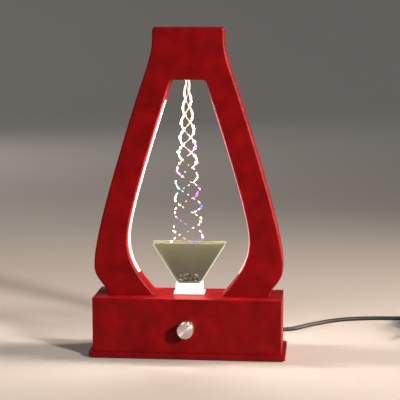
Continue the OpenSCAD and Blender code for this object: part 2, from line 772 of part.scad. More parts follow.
module riser_hose() {
    low = [[hose_x, fall_y, hose_low], [hose_x, fall_y, (hose_low + top_z) / 2]];
    leg = [for (p = mid_pts) [-p[0], fall_y, top_z + p[1]]];
    head = [[-nozzle_body_d / 2 - 1, fall_y, top_z + win_top + nozzle_in_up]];
    bore_corner = (hose_d - 2 * hose_wall) / cos(180 / 8);
    color("whitesmoke") pipe(concat(low, leg, head), hose_d, bore_corner, 8, [0, 1, 0]);
}

// Nozzle and its shaker
module spray_nozzle() {
    base = top_z + win_top;
    color("white") difference() {
        union() {
            translate([0, fall_y, tip_z]) cylinder(h = pocket_low - nozzle_tip + 1, d = nozzle_d);
            translate([0, fall_y, base + pocket_low]) cylinder(h = nozzle_body_h, d = nozzle_body_d);
            along_x(-nozzle_body_d / 2 - barb_l, 0, barb_d, fall_y, base + nozzle_in_up);
            block(-motor_d / 2 - 1, motor_d / 2 + 1, motor_front + 1, motor_front + motor_l - 1,
                base + pocket_low + nozzle_body_h - 1, motor_z);
        }
        along_y(motor_front, motor_front + motor_l, motor_d + 2 * run, 0, motor_z);
        translate([0, fall_y, tip_z + nozzle_floor])
            cylinder(h = base + nozzle_in_up - tip_z - 1, d = nozzle_bore);
        along_x(-nozzle_body_d / 2 - barb_l - over, 0, barb_d - 2 * barb_wall, fall_y, base + nozzle_in_up);
        for (k = [0:strand_count - 1])
            translate(strand_pts(k)[0] - [0, 0, over]) cylinder(h = jet_deep, d = jet_d);
    }
}
module nozzle_grommet() {
    color("black") translate([0, fall_y, top_z + win_top + 1]) difference() {
        cylinder(h = pocket_low - 1, d = nozzle_d + 2 * grommet_t);
        translate([0, 0, -over]) cylinder(h = pocket_low + 2 * over, d = nozzle_d + 2 * run);
    }
}
module vibration_motor() {
    color("silver") difference() {
        along_y(motor_front, motor_front + motor_l, motor_d, 0, motor_z);
        along_y(motor_front - over, motor_front + motor_l / 2, motor_shaft_d + 2 * run, 0, motor_z);
    }
}
module motor_shaft() {
    color("gray") along_y(weight_front, motor_front + motor_l / 2 - 0.2, motor_shaft_d, 0, motor_z);
}
module eccentric_weight() {
    color("gray") difference() {
        along_y(weight_front, weight_front + weight_l, 2 * weight_r, 0, motor_z);
        along_y(weight_front - over, weight_front + weight_l + over, motor_shaft_d + 2 * run, 0, motor_z);
        block(-weight_r, weight_r, weight_front - over, weight_front + weight_l + over,
            motor_z + motor_shaft_d / 2 + 0.6, motor_z + weight_r + over);
    }
}
module water_strands() {
    color("aliceblue") for (k = [0:strand_count - 1]) tube(strand_pts(k), strand_d, 6, [0, 1, 0]);
}

// Control
module control_board() {
    color("darkgreen") difference() {
        block(board_x, board_x + board_w, board_y, parts_y, board_z, board_z + board_h);
        at_board_holes() translate([0, 0, -over])
            cylinder(h = board_t + 2 * over, d = board_screw_d + 2 * run);
    }
}
module board_standoffs() {
    color("white") difference() {
        at_board_holes() translate([0, 0, board_t]) cylinder(h = standoff_l, d = standoff_d);
        at_board_holes() cylinder(h = board_t + standoff_l + over, d = board_screw_d + 2 * run);
    }
}
module board_screws() {
    color("silver") at_board_holes() {
        translate([0, 0, -board_screw_head_h]) cylinder(h = board_screw_head_h, d = board_screw_head_d);
        cylinder(h = board_screw_l, d = board_screw_d);
    }
}
module board_capacitor() {
    color("black") along_y(parts_y, parts_y + 11, 8, board_x + 10, board_z + 12);
}
module driver_chip() {
    color("black") block(board_x + 20, board_x + 32, parts_y, parts_y + 1.8, board_z + 8, board_z + 17);
}
module terminal_block() {
    mid = board_x + board_w / 2;
    color("mediumseagreen")
        block(mid - term_w / 2, mid + term_w / 2, parts_y, parts_y + term_d, term_top - term_h, term_top);
}
module potentiometer() {
    color("silver") difference() {
        union() {
            along_y(pot_y, pot_y + pot_l, pot_d, 0, knob_z);
            along_y(bushing_end, pot_y, bushing_d, 0, knob_z);
        }
        along_y(bushing_end - over, pot_y + pot_l / 2, shaft_d + 2 * run, 0, knob_z);
    }
}
module potentiometer_shaft() {
    color("gray") along_y(knob_front + knob_skin, pot_y + pot_l / 2 - 0.2, shaft_d, 0, knob_z);
}
module potentiometer_nut() {
    color("silver") difference() {
        translate([0, front_y - nut_t, knob_z]) rotate([-90, 0, 0]) cylinder(h = nut_t, d = nut_d, $fn = 6);
        along_y(front_y - nut_t - over, front_y + over, bushing_d + 2 * run, 0, knob_z);
    }
}
module control_knob() {
    color("silver") difference() {
        along_y(knob_front, knob_rear, knob_d, 0, knob_z);
        along_y(knob_recess, knob_rear + over, knob_recess_d, 0, knob_z);
        along_y(knob_front + knob_skin, knob_rear, shaft_d + 2 * run, 0, knob_z);
        translate([0, set_screw_y, knob_z - knob_d]) cylinder(h = knob_d, d = set_screw_d + 2 * run);
    }
}
module knob_set_screw() {
    low = knob_d / 2 - 0.6;
    color("dimgray") translate([0, set_screw_y, knob_z - low])
        cylinder(h = low - shaft_d / 2 - run, d = set_screw_d);
}

// Inner leads
module lead(v) {
    color("darkslateblue") tube(v, lead_d, 6, [0.36, 0.48, 0.8]);
}
function term_end(i) = [[term_x(i), term_y, term_top + 2], [term_x(i), term_y, term_top]];
function led_drop(side) = [
    [side * led_lead_top[0], lead_y, top_z + led_lead_top[1] - slip],
    [side * led_lead_x, lead_y, top_z + 2],
    [side * led_lead_x, lead_y, top_under - 1]];
module left_led_lead() {
    high = top_under - 1.5;
    lead(concat(led_drop(-1), [[-led_lead_x + 1.5, lead_y - 3, high], [-led_lead_x + 8, term_y - 1, high],
        [term_x(0) - 4, term_y - 1, high]], term_end(0)));
}
module right_led_lead() {
    mid = [(led_lead_x + term_x(2)) / 2, (lead_y + term_y) / 2, top_under - 2.5];
    lead(concat(led_drop(1), [mid], term_end(2)));
}
module motor_lead() {
    leg = [for (p = mid_pts) [p[0], lead_y, top_z + p[1]]];
    in_z = top_z + win_top + nozzle_in_up;
    motor_mid = motor_front + motor_l / 2;
    motor_top = motor_z + motor_d / 2;
    head = [[pocket_half - 1.5, lead_y, in_z], [pocket_half - 3.5, lead_y + 1.5, in_z + 2],
        [pocket_half - 4.5, motor_front, motor_z - 3], [9, motor_mid - 1, motor_top + 1.5],
        [5.5, motor_mid, motor_top + 4.5], [2, motor_mid, motor_top + 5], [0, motor_mid, motor_top + 2.5],
        [0, motor_mid, motor_top]];
    foot = [[mid_foot, lead_y, top_z], [mid_foot, lead_y, top_under - 1],
        [(mid_foot + term_x(3)) / 2, (lead_y + term_y) / 2, top_under - 2.5]];
    lead(concat(back(head), back(rest(leg)), foot, term_end(3)));
}
module pump_lead() {
    high = top_under - 1.5;
    lead(concat([[pump_x + pump_l, fall_y, pump_z], [pump_x + pump_l + 2.5, fall_y, pump_z],
        [pump_lead_x, fall_y, pump_z + 6], [pump_lead_x, fall_y, tank_top + lid_t],
        [pump_lead_x + 2, fall_y - 2, high], [pump_lead_x + 8, term_y + 3, high],
        [term_x(1) - 4, term_y + 3, high]], term_end(1)));
}
module supply_lead() {
    x = term_x(4);
    rise = [[x, -1, term_top - 12], [x, -4, term_top - 2], [x, term_y + 4, term_top + 3.5]];
    lead(concat([[gland_x, in_y - gland_flange, gland_z], [gland_x, in_y - 6, gland_z],
        [gland_x + 4, 8, gland_z + 6]], rise, term_end(4)));
}

// Cord
module cord_gland() {
    color("black") translate([gland_x, rear_y, gland_z]) rotate([-90, 0, 0]) rotate_extrude()
        polygon([[0, -wall - gland_flange], [gland_flange_r, -wall - gland_flange], [gland_flange_r, -wall],
            [gland_r, -wall], [gland_r, 0], [gland_flange_r, 0], [gland_flange_r, gland_flange],
            [gland_r + 0.6, gland_flange], [cord_r + 0.8, boot_l], [0, boot_l]]);
}
module power_cord() {
    color("black") tube(cord_pts, cord_d, 8, [0, 0, 1]);
}
module cord_coil() {
    color("black") tube(coil_pts, cord_d, 6, [0, 0, 1]);
}
module cord_tail() {
    color("black") tube(tail_pts, cord_d, 8, [0, 0, 1]);
}
module cord_tie() {
    color("dimgray") translate([coil_xy[0] - tie_w / 2, coil_xy[1], 0]) difference() {
        block(0, tie_w, -tie_out - tie_t, -tie_in + tie_t, 0, tie_top + tie_t);
        block(-over, tie_w + over, -tie_out, -tie_in, tie_t, tie_top);
    }
}
module plug_body() {
    c = 2;
    w = plug_w / 2;
    h = plug_h / 2;
    color("black") translate([plug_xy[0], plug_xy[1], plug_z]) rotate([0, -90, 0]) {
        cylinder(h = plug_boot_l, d1 = cord_d + 1.4, d2 = plug_h - 0.6);
        translate([0, 0, plug_boot_l]) linear_extrude(plug_l)
            polygon([[-h, -w + c], [-h + c, -w], [h - c, -w], [h, -w + c],
                [h, w - c], [h - c, w], [-h + c, w], [-h, w - c]]);
    }
}
module plug_shell() {
    x = plug_xy[0] - plug_boot_l - plug_l;
    color("silver") translate([x - shell_l, plug_xy[1], plug_z]) difference() {
        block(0, shell_l, -shell_w / 2, shell_w / 2, -shell_h / 2, shell_h / 2);
        block(-over, shell_l + over, -shell_w / 2 + shell_t, shell_w / 2 - shell_t, -shell_h / 2 + shell_t,
            shell_h / 2 - shell_t);
    }
}
module plug_tongue() {
    x = plug_xy[0] - plug_boot_l - plug_l;
    w = shell_w / 2 - shell_t;
    color("white") translate([x - shell_l + 0.6, plug_xy[1], plug_z])
        block(0, shell_l - 0.6, -w, w, -shell_h / 2 + shell_t, -0.1);
}

non_slip_pad();
plinth_board();
plinth_screws();
front_board();
rear_board();
left_end_board();
right_end_board();
top_board();
frame_cover();
frame_body();
frame_screws();
leg_screws();
left_led_tape();
right_led_tape();
left_led_chips();
right_led_chips();
left_diffuser();
right_diffuser();
funnel();
funnel_collar();
collar_gasket();
drain_strainer();
water_tank();
tank_lid();
pump_body();
pump_volute();
pump_pin();
pump_impeller();
rotor_magnet();
riser_hose();
spray_nozzle();
nozzle_grommet();
vibration_motor();
motor_shaft();
eccentric_weight();
water_strands();
control_board();
board_standoffs();
board_screws();
board_capacitor();
driver_chip();
terminal_block();
potentiometer();
potentiometer_shaft();
potentiometer_nut();
control_knob();
knob_set_screw();
left_led_lead();
right_led_lead();
motor_lead();
pump_lead();
supply_lead();
cord_gland();
power_cord();
cord_coil();
cord_tail();
cord_tie();
plug_body();
plug_shell();
plug_tongue();
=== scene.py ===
"""Dresses a red fountain lamp: lacquered arch and base, light strips, funnel, water, knob and cord."""

import json
import logging
import math
from dataclasses import dataclass, field
from enum import Enum
from typing import Callable, Optional, Sequence, Union

import bmesh
import bpy
import numpy as np
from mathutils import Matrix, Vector


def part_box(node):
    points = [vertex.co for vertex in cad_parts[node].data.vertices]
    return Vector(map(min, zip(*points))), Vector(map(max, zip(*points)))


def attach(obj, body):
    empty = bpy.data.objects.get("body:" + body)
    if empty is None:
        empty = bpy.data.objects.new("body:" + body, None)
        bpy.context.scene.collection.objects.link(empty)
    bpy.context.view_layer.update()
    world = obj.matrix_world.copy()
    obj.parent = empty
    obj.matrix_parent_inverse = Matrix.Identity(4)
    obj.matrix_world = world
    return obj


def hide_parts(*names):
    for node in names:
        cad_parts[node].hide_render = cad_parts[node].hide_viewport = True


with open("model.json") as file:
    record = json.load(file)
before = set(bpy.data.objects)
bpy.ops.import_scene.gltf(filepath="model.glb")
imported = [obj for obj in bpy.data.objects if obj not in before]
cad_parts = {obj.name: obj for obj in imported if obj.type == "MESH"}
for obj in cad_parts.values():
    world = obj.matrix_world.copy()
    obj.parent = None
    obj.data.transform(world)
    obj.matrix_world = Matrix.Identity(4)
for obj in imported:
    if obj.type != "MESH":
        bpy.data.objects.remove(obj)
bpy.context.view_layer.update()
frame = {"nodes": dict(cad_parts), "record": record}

MM = 0.001
LAMP = "lamp"
KNOB = "knob"
TURN_MAP = "round_the_axis"
PAINTED_LIGHT_MAP = "painted_light"
LOG = logging.getLogger("fountain_lamp")

# Points this close are one point, in a new mesh and in a copy of a solid, in metres
WELD = 1e-7
SOLID_WELD = 1e-6
# A corner this close to a plane lies in it, in metres
ON_PLANE = 1e-5
# Faces of a solid bent less than this are joined, in degrees
FLAT_DEG = 0.4
# Edges bent more than this are rounded over, and those left are shaded sharp, in degrees
ROUND_DEG = 38.0
SHARP_DEG = 30.0
# A tube's rings start square to this direction, along which no tube runs
RING_START = np.array([0.36, 0.48, 0.8])

# A wave texture of scale 1 repeats after this many metres
WAVE_PERIOD = 2 * math.pi / 20
# How far gloss swings with the pattern, how strong grit is, and how much of the tone follows the height,
# paler upwards
GLOSS_SWING = 0.15
GRIT_STRENGTH = 0.6
HAZE_RISE = 0.6

Colour = tuple[float, float, float, float]
Triple = tuple[float, float, float]
Faces = list[list[int]]
EdgeTest = Callable[[Vector, Vector], bool]
Input = Union[float, Sequence[float], bpy.types.NodeSocket]


class Pattern(Enum):
    """How a finish varies over its surface."""

    MOTTLED = "soft blotches"
    SPUN = "rings left by a lathe tool"
    WOVEN = "crossing threads"
    SPECKLED = "fine even grit"
    HAZED = "clouds that thicken upwards"


def linear(hex_colour: str) -> Colour:
    """Turns an sRGB hex colour into linear light, by the sRGB curve.

    Args:
        hex_colour: six hex digits after a hash sign.

    Returns:
        Red, green, blue and an alpha of 1.
    """
    srgb = np.array([int(hex_colour[i:i + 2], 16) for i in (1, 3, 5)]) / 255
    light = np.where(srgb <= 0.04045, srgb / 12.92, ((srgb + 0.055) / 1.055) ** 2.4)
    return (*light.tolist(), 1.0)


def add_node(tree: bpy.types.NodeTree, kind: str, inputs: Optional[dict[Union[str, int], Input]] = None,
             **settings: object) -> bpy.types.Node:
    """Adds one shader node.

    Args:
        tree: the material's or world's node tree.
        kind: the node's type.
        inputs: a value, or an output socket to link, for each input by name or number.
        **settings: the node's own attributes.

    Returns:
        The new node.
    """
    made = tree.nodes.new(kind)
    for name, value in settings.items():
        setattr(made, name, value)
    for name, value in (inputs or {}).items():
        if isinstance(value, bpy.types.NodeSocket):
            tree.links.new(value, made.inputs[name])
        else:
            made.inputs[name].default_value = value
    return made


def blank_material(name: str) -> bpy.types.Material:
    """Adds a material whose node tree is empty.

    Args:
        name: the material's name.

    Returns:
        The new material.
    """
    made = bpy.data.materials.new(name)
    made.use_nodes = True
    made.node_tree.nodes.clear()
    return made


@dataclass(frozen=True)
class Finish:
    """A surface finish, from what the real material is and how its surface was made.

    The colour runs between two tones in a pattern of patch_mm, and the relief is a grit of grain_mm.
    """

    name: str
    colour: str
    tone: str
    roughness: float
    patch_mm: float = 6.0
    grain_mm: float = 0.8
    relief_mm: float = 0.01
    pattern: Pattern = Pattern.MOTTLED
    contrast: float = 0.35
    metallic: float = 0.0
    ior: float = 1.5
    specular: float = 0.5
    alpha: float = 1.0
    tall_mm: float = 40.0
    transmission: float = 0.0
    anisotropy: float = 0.0
    streak_turn: float = 0.0
    glow: float = 0.0
    glow_colour: str = "#ffffff"
    centre_mm: Triple = (0.0, 0.0, 0.0)

    def material(self) -> bpy.types.Material:
        """Builds the finish as a node material, or finds the one already built.

        Returns:
            The material.
        """
        known = bpy.data.materials.get(self.name)
        if known is not None:
            return known
        made = blank_material(self.name)
        tree = made.node_tree
        place = add_node(tree, "ShaderNodeTexCoord").outputs["Object"]
        centred = add_node(tree, "ShaderNodeMapping", {
            "Vector": place, "Location": [-MM * c for c in self.centre_mm]}).outputs["Vector"]
        share = self.variation(tree, centred)
        ramp = add_node(tree, "ShaderNodeValToRGB", {"Fac": share})
        for stop, shade, way in zip(ramp.color_ramp.elements, (self.tone, self.colour), (-1, 1)):
            stop.position = 0.5 + way * self.contrast / 2
            stop.color = linear(shade)
        gloss = add_node(tree, "ShaderNodeMapRange", {
            "Value": share, "To Min": self.roughness * (1 + GLOSS_SWING),
            "To Max": self.roughness * (1 - GLOSS_SWING)})
        grit = add_node(tree, "ShaderNodeTexNoise", {
            "Vector": centred, "Scale": 1 / (self.grain_mm * MM), "Detail": 2.0})
        relief = add_node(tree, "ShaderNodeBump", {
            "Height": grit.outputs["Fac"], "Distance": self.relief_mm * MM, "Strength": GRIT_STRENGTH})
        sockets = {
            "Base Color": ramp.outputs["Color"], "Roughness": gloss.outputs["Result"],
            "Normal": relief.outputs["Normal"], "Metallic": self.metallic, "Alpha": self.alpha,
            "Transmission Weight": self.transmission, "Anisotropic": self.anisotropy,
            "Anisotropic Rotation": self.streak_turn, "Specular IOR Level": self.specular,
            "Emission Strength": self.glow, "Emission Color": linear(self.glow_colour)}
        if not self.metallic:
            sockets["IOR"] = self.ior
        if self.anisotropy:
            sockets["Tangent"] = add_node(tree, "ShaderNodeTangent", direction_type="UV_MAP",
                                          uv_map=TURN_MAP).outputs["Tangent"]
        shader = add_node(tree, "ShaderNodeBsdfPrincipled", sockets)
        add_node(tree, "ShaderNodeOutputMaterial", {"Surface": shader.outputs["BSDF"]})
        return made

    def variation(self, tree: bpy.types.NodeTree, place: bpy.types.NodeSocket) -> bpy.types.NodeSocket:
        """Adds the pattern that sets how the tones mix.

        Args:
            tree: the material's node tree.
            place: object coordinates, in metres.

        Returns:
            A socket that runs from 0 to 1 over the surface.
        """
        patch = self.patch_mm * MM
        if self.pattern is Pattern.SPUN:
            return add_node(tree, "ShaderNodeTexWave", {
                "Vector": place, "Scale": WAVE_PERIOD / patch, "Distortion": 0.4, "Detail": 1.0},
                wave_type="RINGS", rings_direction="Y").outputs["Fac"]
        if self.pattern is Pattern.WOVEN:
            warp, weft = (add_node(tree, "ShaderNodeTexWave", {
                "Vector": place, "Scale": WAVE_PERIOD / patch}, bands_direction=way).outputs["Fac"]
                for way in ("X", "DIAGONAL"))
            return add_node(tree, "ShaderNodeMath", {0: warp, 1: weft}, operation="MULTIPLY").outputs[0]
        detail = 0.0 if self.pattern is Pattern.SPECKLED else 4.0
        noise = add_node(tree, "ShaderNodeTexNoise", {
            "Vector": place, "Scale": 1 / patch, "Detail": detail, "Roughness": 0.6}).outputs["Fac"]
        if self.pattern is not Pattern.HAZED:
            return noise
        height = add_node(tree, "ShaderNodeSeparateXYZ", {"Vector": place}).outputs["Z"]
        rise = add_node(tree, "ShaderNodeMapRange", {
            "Value": height, "From Min": -MM * self.tall_mm / 2, "From Max": MM * self.tall_mm / 2})
        return add_node(tree, "ShaderNodeMix", {
            "Factor": HAZE_RISE, "A": noise, "B": rise.outputs["Result"]}).outputs["Result"]


# Red lacquer sprayed over fibre board: mottled where it soaked in, rubbed to a low satin shine
LACQUER = Finish("red_lacquer_on_board", "#920b10", "#66060a", 0.4, patch_mm=16, grain_mm=1.6,
                 relief_mm=0.05, contrast=0.5, specular=0.1)
# Milky silicone, lit from behind by the chips: an even glow
LIT_SILICONE = Finish("lit_milky_silicone", "#e8e2dc", "#dcd5ce", 0.35, patch_mm=9,
                      glow=0.8, glow_colour="#fff2ea")
# Cast acrylic, tinted green and clouded: paler towards the rim and darker towards the neck
ACRYLIC = Finish("hazed_green_acrylic", "#68684d", "#29241b", 0.12, patch_mm=9, grain_mm=0.9,
                 pattern=Pattern.HAZED, contrast=0.8, ior=1.49, alpha=0.39, centre_mm=(0.0, 4.0, 91.0))
# Sawn edges of that sheet, with a painted highlight: a glow that stands in for the light they gather and
# shine with
ACRYLIC_EDGE_PAINTED_GLINT = Finish("acrylic_edge_painted_glint", "#9aa48e", "#86917c", 0.25, patch_mm=4, ior=1.49,
                      alpha=0.7, glow=0.75, glow_colour="#eef2e2")
# Froth: films of water, drawn as fine specks of painted shade and painted glints
FROTH = Finish("water_froth", "#b4ab8c", "#352f25", 0.3, patch_mm=1.6, pattern=Pattern.SPECKLED,
               contrast=0.3, ior=1.33)
# Moulded white plastic with a painted glow: an even bright white that stands in for the light of the strips
# beside it
PLASTIC_PAINTED_GLOW = Finish("white_plastic_painted_glow", "#fbfbf9", "#f2f2ee", 0.3, patch_mm=8, grain_mm=0.6, glow=0.55)
# Aluminium faced on a lathe: rings that fan the light, drawn coarser than a tool leaves them, to show
SPUN_ALUMINIUM = Finish("faced_aluminium", "#f2eef0", "#d3cfd1", 0.32, patch_mm=0.55, grain_mm=0.4,
                        pattern=Pattern.SPUN, contrast=0.9, metallic=1.0, anisotropy=0.94,
                        streak_turn=0.25, centre_mm=(0.0, 0.0, 32.0))
# Extruded flexible sheath of a low voltage cord: black with a dull sheen
CORD_SHEATH = Finish("black_cord_sheath", "#1b1b1d", "#121214", 0.45, patch_mm=5, grain_mm=0.7)
# Moulded rubber: black and matt
RUBBER = Finish("black_moulded_rubber", "#1d1d1f", "#131315", 0.6, patch_mm=4, grain_mm=0.5)

SLOT_FINISH: dict[str, Finish] = {
    "red_lacquer": LACQUER,
    # Foam sheet, cut open: cells that look like grit
    "pad_foam": Finish("black_foam_sheet", "#262628", "#161618", 0.9, patch_mm=1.5, grain_mm=0.6,
                       relief_mm=0.1, pattern=Pattern.SPECKLED),
    # Zinc plated steel: a soft grey shine
    "screw_steel": Finish("zinc_plated_steel", "#c6c7c9", "#a4a6aa", 0.3, patch_mm=3, metallic=1.0),
    # Flexible circuit under white ink: warm and half matt
    "led_tape": Finish("white_flexible_circuit", "#efe9dc", "#ddd5c4", 0.45, patch_mm=7),
    # Cast resin full of phosphor: yellow, and glowing while the lamp is on
    "led_chip": Finish("yellow_phosphor_resin", "#f6e9a0", "#e6d272", 0.25, patch_mm=2, glow=0.6,
                       glow_colour="#fff1c0"),
    "diffuser": LIT_SILICONE,
    "acrylic": ACRYLIC,
    # Moulded white plastic: even, with a slight gloss
    "white_plastic": Finish("white_moulded_plastic", "#f0f0ec", "#e2e2dd", 0.3, patch_mm=6),
    # Rolled silicone sheet: pale grey and matt
    "gasket_rubber": Finish("grey_silicone_sheet", "#dadad6", "#c6c6c2", 0.55, patch_mm=4),
    # Punched steel sheet: a dull shine
    "strainer_steel": Finish("punched_steel_sheet", "#cfcfcf", "#b2b2b2", 0.35, patch_mm=2, metallic=1.0),
    # Moulded tank plastic: cloudy and a little blue
    "tank_plastic": Finish("grey_blue_tank_plastic", "#c4ccd4", "#b0b9c3", 0.4, patch_mm=11),
    # Moulded filled plastic: black with a fine tooth
    "pump_plastic": Finish("black_pump_plastic", "#2a2a2c", "#1c1c1e", 0.5, patch_mm=5, grain_mm=0.6),
    # Sintered ferrite: dark grey grains
    "magnet": Finish("sintered_ferrite", "#38383a", "#26262a", 0.65, patch_mm=1.2,
                     pattern=Pattern.SPECKLED),
    # Extruded silicone: half clear
    "hose_silicone": Finish("clear_silicone_hose", "#eeeeea", "#dfdfd9", 0.3, patch_mm=5, transmission=0.5),
    "grommet_rubber": RUBBER,
    # Drawn steel: bright, with faint streaks
    "motor_can": Finish("drawn_steel_can", "#cdced2", "#b0b2b8", 0.28, patch_mm=1.5, metallic=1.0),
    # Water: clear and smooth
    "water": Finish("clear_water", "#f4f8fb", "#e8f0f6", 0.08, patch_mm=3, ior=1.33, transmission=0.8),
    # Solder mask over glass cloth: green, with its weave drawn coarse enough to show
    "circuit_board": Finish("green_solder_mask", "#15602f", "#0f4a24", 0.35, patch_mm=2.4,
                            pattern=Pattern.WOVEN),
    # Cast epoxy: black with fine filler
    "black_component": Finish("black_epoxy", "#232325", "#171719", 0.5, patch_mm=1.4,
                              pattern=Pattern.SPECKLED),
    # Moulded terminal plastic: plain green
    "terminal_green": Finish("green_terminal_plastic", "#3c9a58", "#2f8049", 0.45, patch_mm=4),
    "spun_aluminium": SPUN_ALUMINIUM,
    # Extruded sheath of a lead: plain blue
    "lead_insulation": Finish("blue_lead_sheath", "#2b2f7a", "#20245f", 0.45, patch_mm=4),
    "cord_black": RUBBER,
    # Moulded plug plastic: black with a fine matt grain
    "plug_black": Finish("black_plug_plastic", "#1c1c1e", "#141416", 0.5, patch_mm=3, grain_mm=0.5,
                         relief_mm=0.03),
    # Woven tie: ribs of black thread
    "tie_fabric": Finish("black_woven_tie", "#333336", "#151517", 0.85, patch_mm=0.9, relief_mm=0.05,
                         pattern=Pattern.WOVEN, contrast=0.8),
    # Nickel plated sheet: a bright shine
    "plug_steel": Finish("nickel_plated_sheet", "#d2d3d6", "#bdbfc4", 0.2, patch_mm=5, metallic=1.0),
}


def new_piece(name: str, mesh: bpy.types.Mesh, materials: Sequence[bpy.types.Material],
              body: str = LAMP, replaced: Sequence[str] = ()) -> bpy.types.Object:
    """Adds a piece to the lamp.

    Args:
        name: the piece's name.
        mesh: its mesh, in the lamp's frame.
        materials: its materials, in the order of the mesh's material numbers.
        body: the body that carries it.
        replaced: the solids it stands for.

    Returns:
        The new object.
    """
    made = bpy.data.objects.new(name, mesh)
    bpy.context.scene.collection.objects.link(made)
    for material in materials:
        mesh.materials.append(material)
    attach(made, body)
    if replaced:
        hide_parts(*replaced)
    LOG.info("%s: %d faces on %s", name, len(mesh.polygons), body)
    return made


def round_angles(sides: int) -> np.ndarray:
    """Gives this many angles, evenly spaced round a circle."""
    return np.linspace(0, 2 * np.pi, sides, endpoint=False)


def ring_faces(rings: int, sides: int) -> np.ndarray:
    """Joins rings of points with quads: each joins a point to the next in its ring and in the next ring.

    Args:
        rings: how many rings there are.
        sides: points of each ring, the last of which joins the first.

    Returns:
        Point numbers of each quad, as an array of four columns.
    """
    i, j = np.meshgrid(np.arange(rings - 1), np.arange(sides), indexing="ij")
    k = (j + 1) % sides
    return np.stack([i * sides + j, i * sides + k, (i + 1) * sides + k, (i + 1) * sides + j],
                    axis=-1).reshape(-1, 4)


def repeated(faces: np.ndarray, copies: int, points: int) -> Faces:
    """Repeats a shape's faces: each copy's point numbers go on from the last one's.

    Args:
        faces: point numbers of the shape's faces, one a row.
        copies: how many copies there are.
        points: how many points the shape has.

    Returns:
        Point numbers of all the faces.
    """
    first = np.arange(copies)[:, None, None] * points
    return (first + faces[None]).reshape(-1, faces.shape[1]).tolist()


def tube_faces(rings: int, sides: int, copies: int = 1) -> Faces:
    """Joins rings of points into closed tubes: quads along each, and a flat cap at its ends.

    Args:
        rings: rings of one tube.
        sides: points of one ring.
        copies: how many tubes follow each other in the list of points.

    Returns:
        Point numbers of each face.
    """
    ring = np.arange(sides)
    caps = np.stack([ring[::-1], (rings - 1) * sides + ring])
    return [face for part in (ring_faces(rings, sides), caps)
            for face in repeated(part, copies, rings * sides)]


def mesh_of(name: str, points: np.ndarray, faces: Faces,
            crease_deg: Optional[float] = None) -> bpy.types.Mesh:
    """Makes a smooth mesh whose faces point outwards.

    Args:
        name: the mesh's name.
        points: points in metres, in an array of any shape that ends in 3.
        faces: point numbers of each face.
        crease_deg: edges bent more than this are shaded sharp.

    Returns:
        The new mesh.
    """
    mesh = bpy.data.meshes.new(name)
    mesh.from_pydata(points.reshape(-1, 3).tolist(), [], faces)
    work = bmesh.new()
    work.from_mesh(mesh)
    bmesh.ops.remove_doubles(work, verts=work.verts, dist=WELD)
    bmesh.ops.recalc_face_normals(work, faces=work.faces)
    work.to_mesh(mesh)
    work.free()
    mesh.shade_smooth()
    if crease_deg is not None:
        mesh.set_sharp_from_angle(angle=math.radians(crease_deg))
    return mesh


def mesh_points(mesh: bpy.types.Mesh) -> np.ndarray:
    """Reads a mesh's points.

    Args:
        mesh: the mesh.

    Returns:
        Points in metres, one a row.
    """
    place = np.empty(len(mesh.vertices) * 3, np.float32)
    mesh.vertices.foreach_get("co", place)
    return place.reshape(-1, 3)


def tubes(paths: np.ndarray, radii: np.ndarray, sides: int) -> tuple[np.ndarray, Faces]:
    """Carries a circle along each path: point + radius * (cos a * across + sin a * up), square to it.

    Args:
        paths: points in metres, as tubes by rings by 3.
        radii: radius in metres at each ring, as tubes by rings.
        sides: points round the circle.

    Returns:
        The points of all rings, and the faces with a flat cap at each end.
    """
    heading = np.gradient(paths, axis=1)
    heading /= np.linalg.norm(heading, axis=-1, keepdims=True)
    across = np.cross(RING_START, heading)
    across /= np.linalg.norm(across, axis=-1, keepdims=True)
    up = np.cross(heading, across)
    angle = round_angles(sides)[:, None]
    circle = np.cos(angle) * across[:, :, None] + np.sin(angle) * up[:, :, None]
    points = paths[:, :, None] + radii[:, :, None, None] * circle
    return points, tube_faces(radii.shape[1], sides, len(radii))


def turned(profile: np.ndarray, centre: Vector, sides: int) -> tuple[np.ndarray, Faces]:
    """Turns a profile round an axis along Y: x = r cos a, z = r sin a, y as it is.

    Args:
        profile: radius and y in metres, one row a point.
        centre: a point of the axis, whose y counts as zero.
        sides: points round the axis.

    Returns:
        The points, and the faces with a flat cap at each end.
    """
    angle = round_angles(sides)[None]
    radius, along_y = profile[:, :1], profile[:, 1:]
    points = np.stack([radius * np.cos(angle), along_y + 0 * angle, radius * np.sin(angle)], axis=-1)
    return points + np.array(centre), tube_faces(len(profile), sides)


def smooth_line(points: np.ndarray, per_span: int) -> np.ndarray:
    """Runs a smooth curve through points: on each span, the cubic whose slopes follow the neighbours.

    Args:
        points: the points to pass through, one a row.
        per_span: new points for each span.

    Returns:
        The curve's points.
    """
    held = np.vstack([2 * points[0] - points[1], points, 2 * points[-1] - points[-2]])
    t = np.linspace(0, 1, per_span, endpoint=False)[None, :, None]
    a, b, c, d = (held[i:len(held) - 3 + i, None] for i in range(4))
    curve = 0.5 * (2 * b + (c - a) * t + (2 * a - 5 * b + 4 * c - d) * t ** 2
                   + (3 * b - a - 3 * c + d) * t ** 3)
    return np.vstack([curve.reshape(-1, 3), points[-1]])


def drop_outline(t: np.ndarray, trim: float, lean: float = 1.0) -> np.ndarray:
    """Shapes a drop along its length: the root of a sine's hump, trimmed at both ends.

    Args:
        t: places along the drop, from 0 to 1.
        trim: the share of the hump left out at each end.
        lean: more than 1 moves the widest place towards the end.

    Returns:
        The radius at each place, as a share of the widest.
    """
    return np.sqrt(np.sin(np.pi * (trim + (1 - 2 * trim) * t ** lean)))


@dataclass(frozen=True)
class RoundOver:
    """A cut that rounds over the sharp edges that pass a test."""

    radius_mm: float
    chosen: EdgeTest
    steps: int = 4
    material: int = -1


def every(*tests: EdgeTest) -> EdgeTest:
    """Picks edges that pass all these tests."""
    return lambda a, b: all(test(a, b) for test in tests)


def either(*tests: EdgeTest) -> EdgeTest:
    """Picks edges that pass one of these tests."""
    return lambda a, b: any(test(a, b) for test in tests)


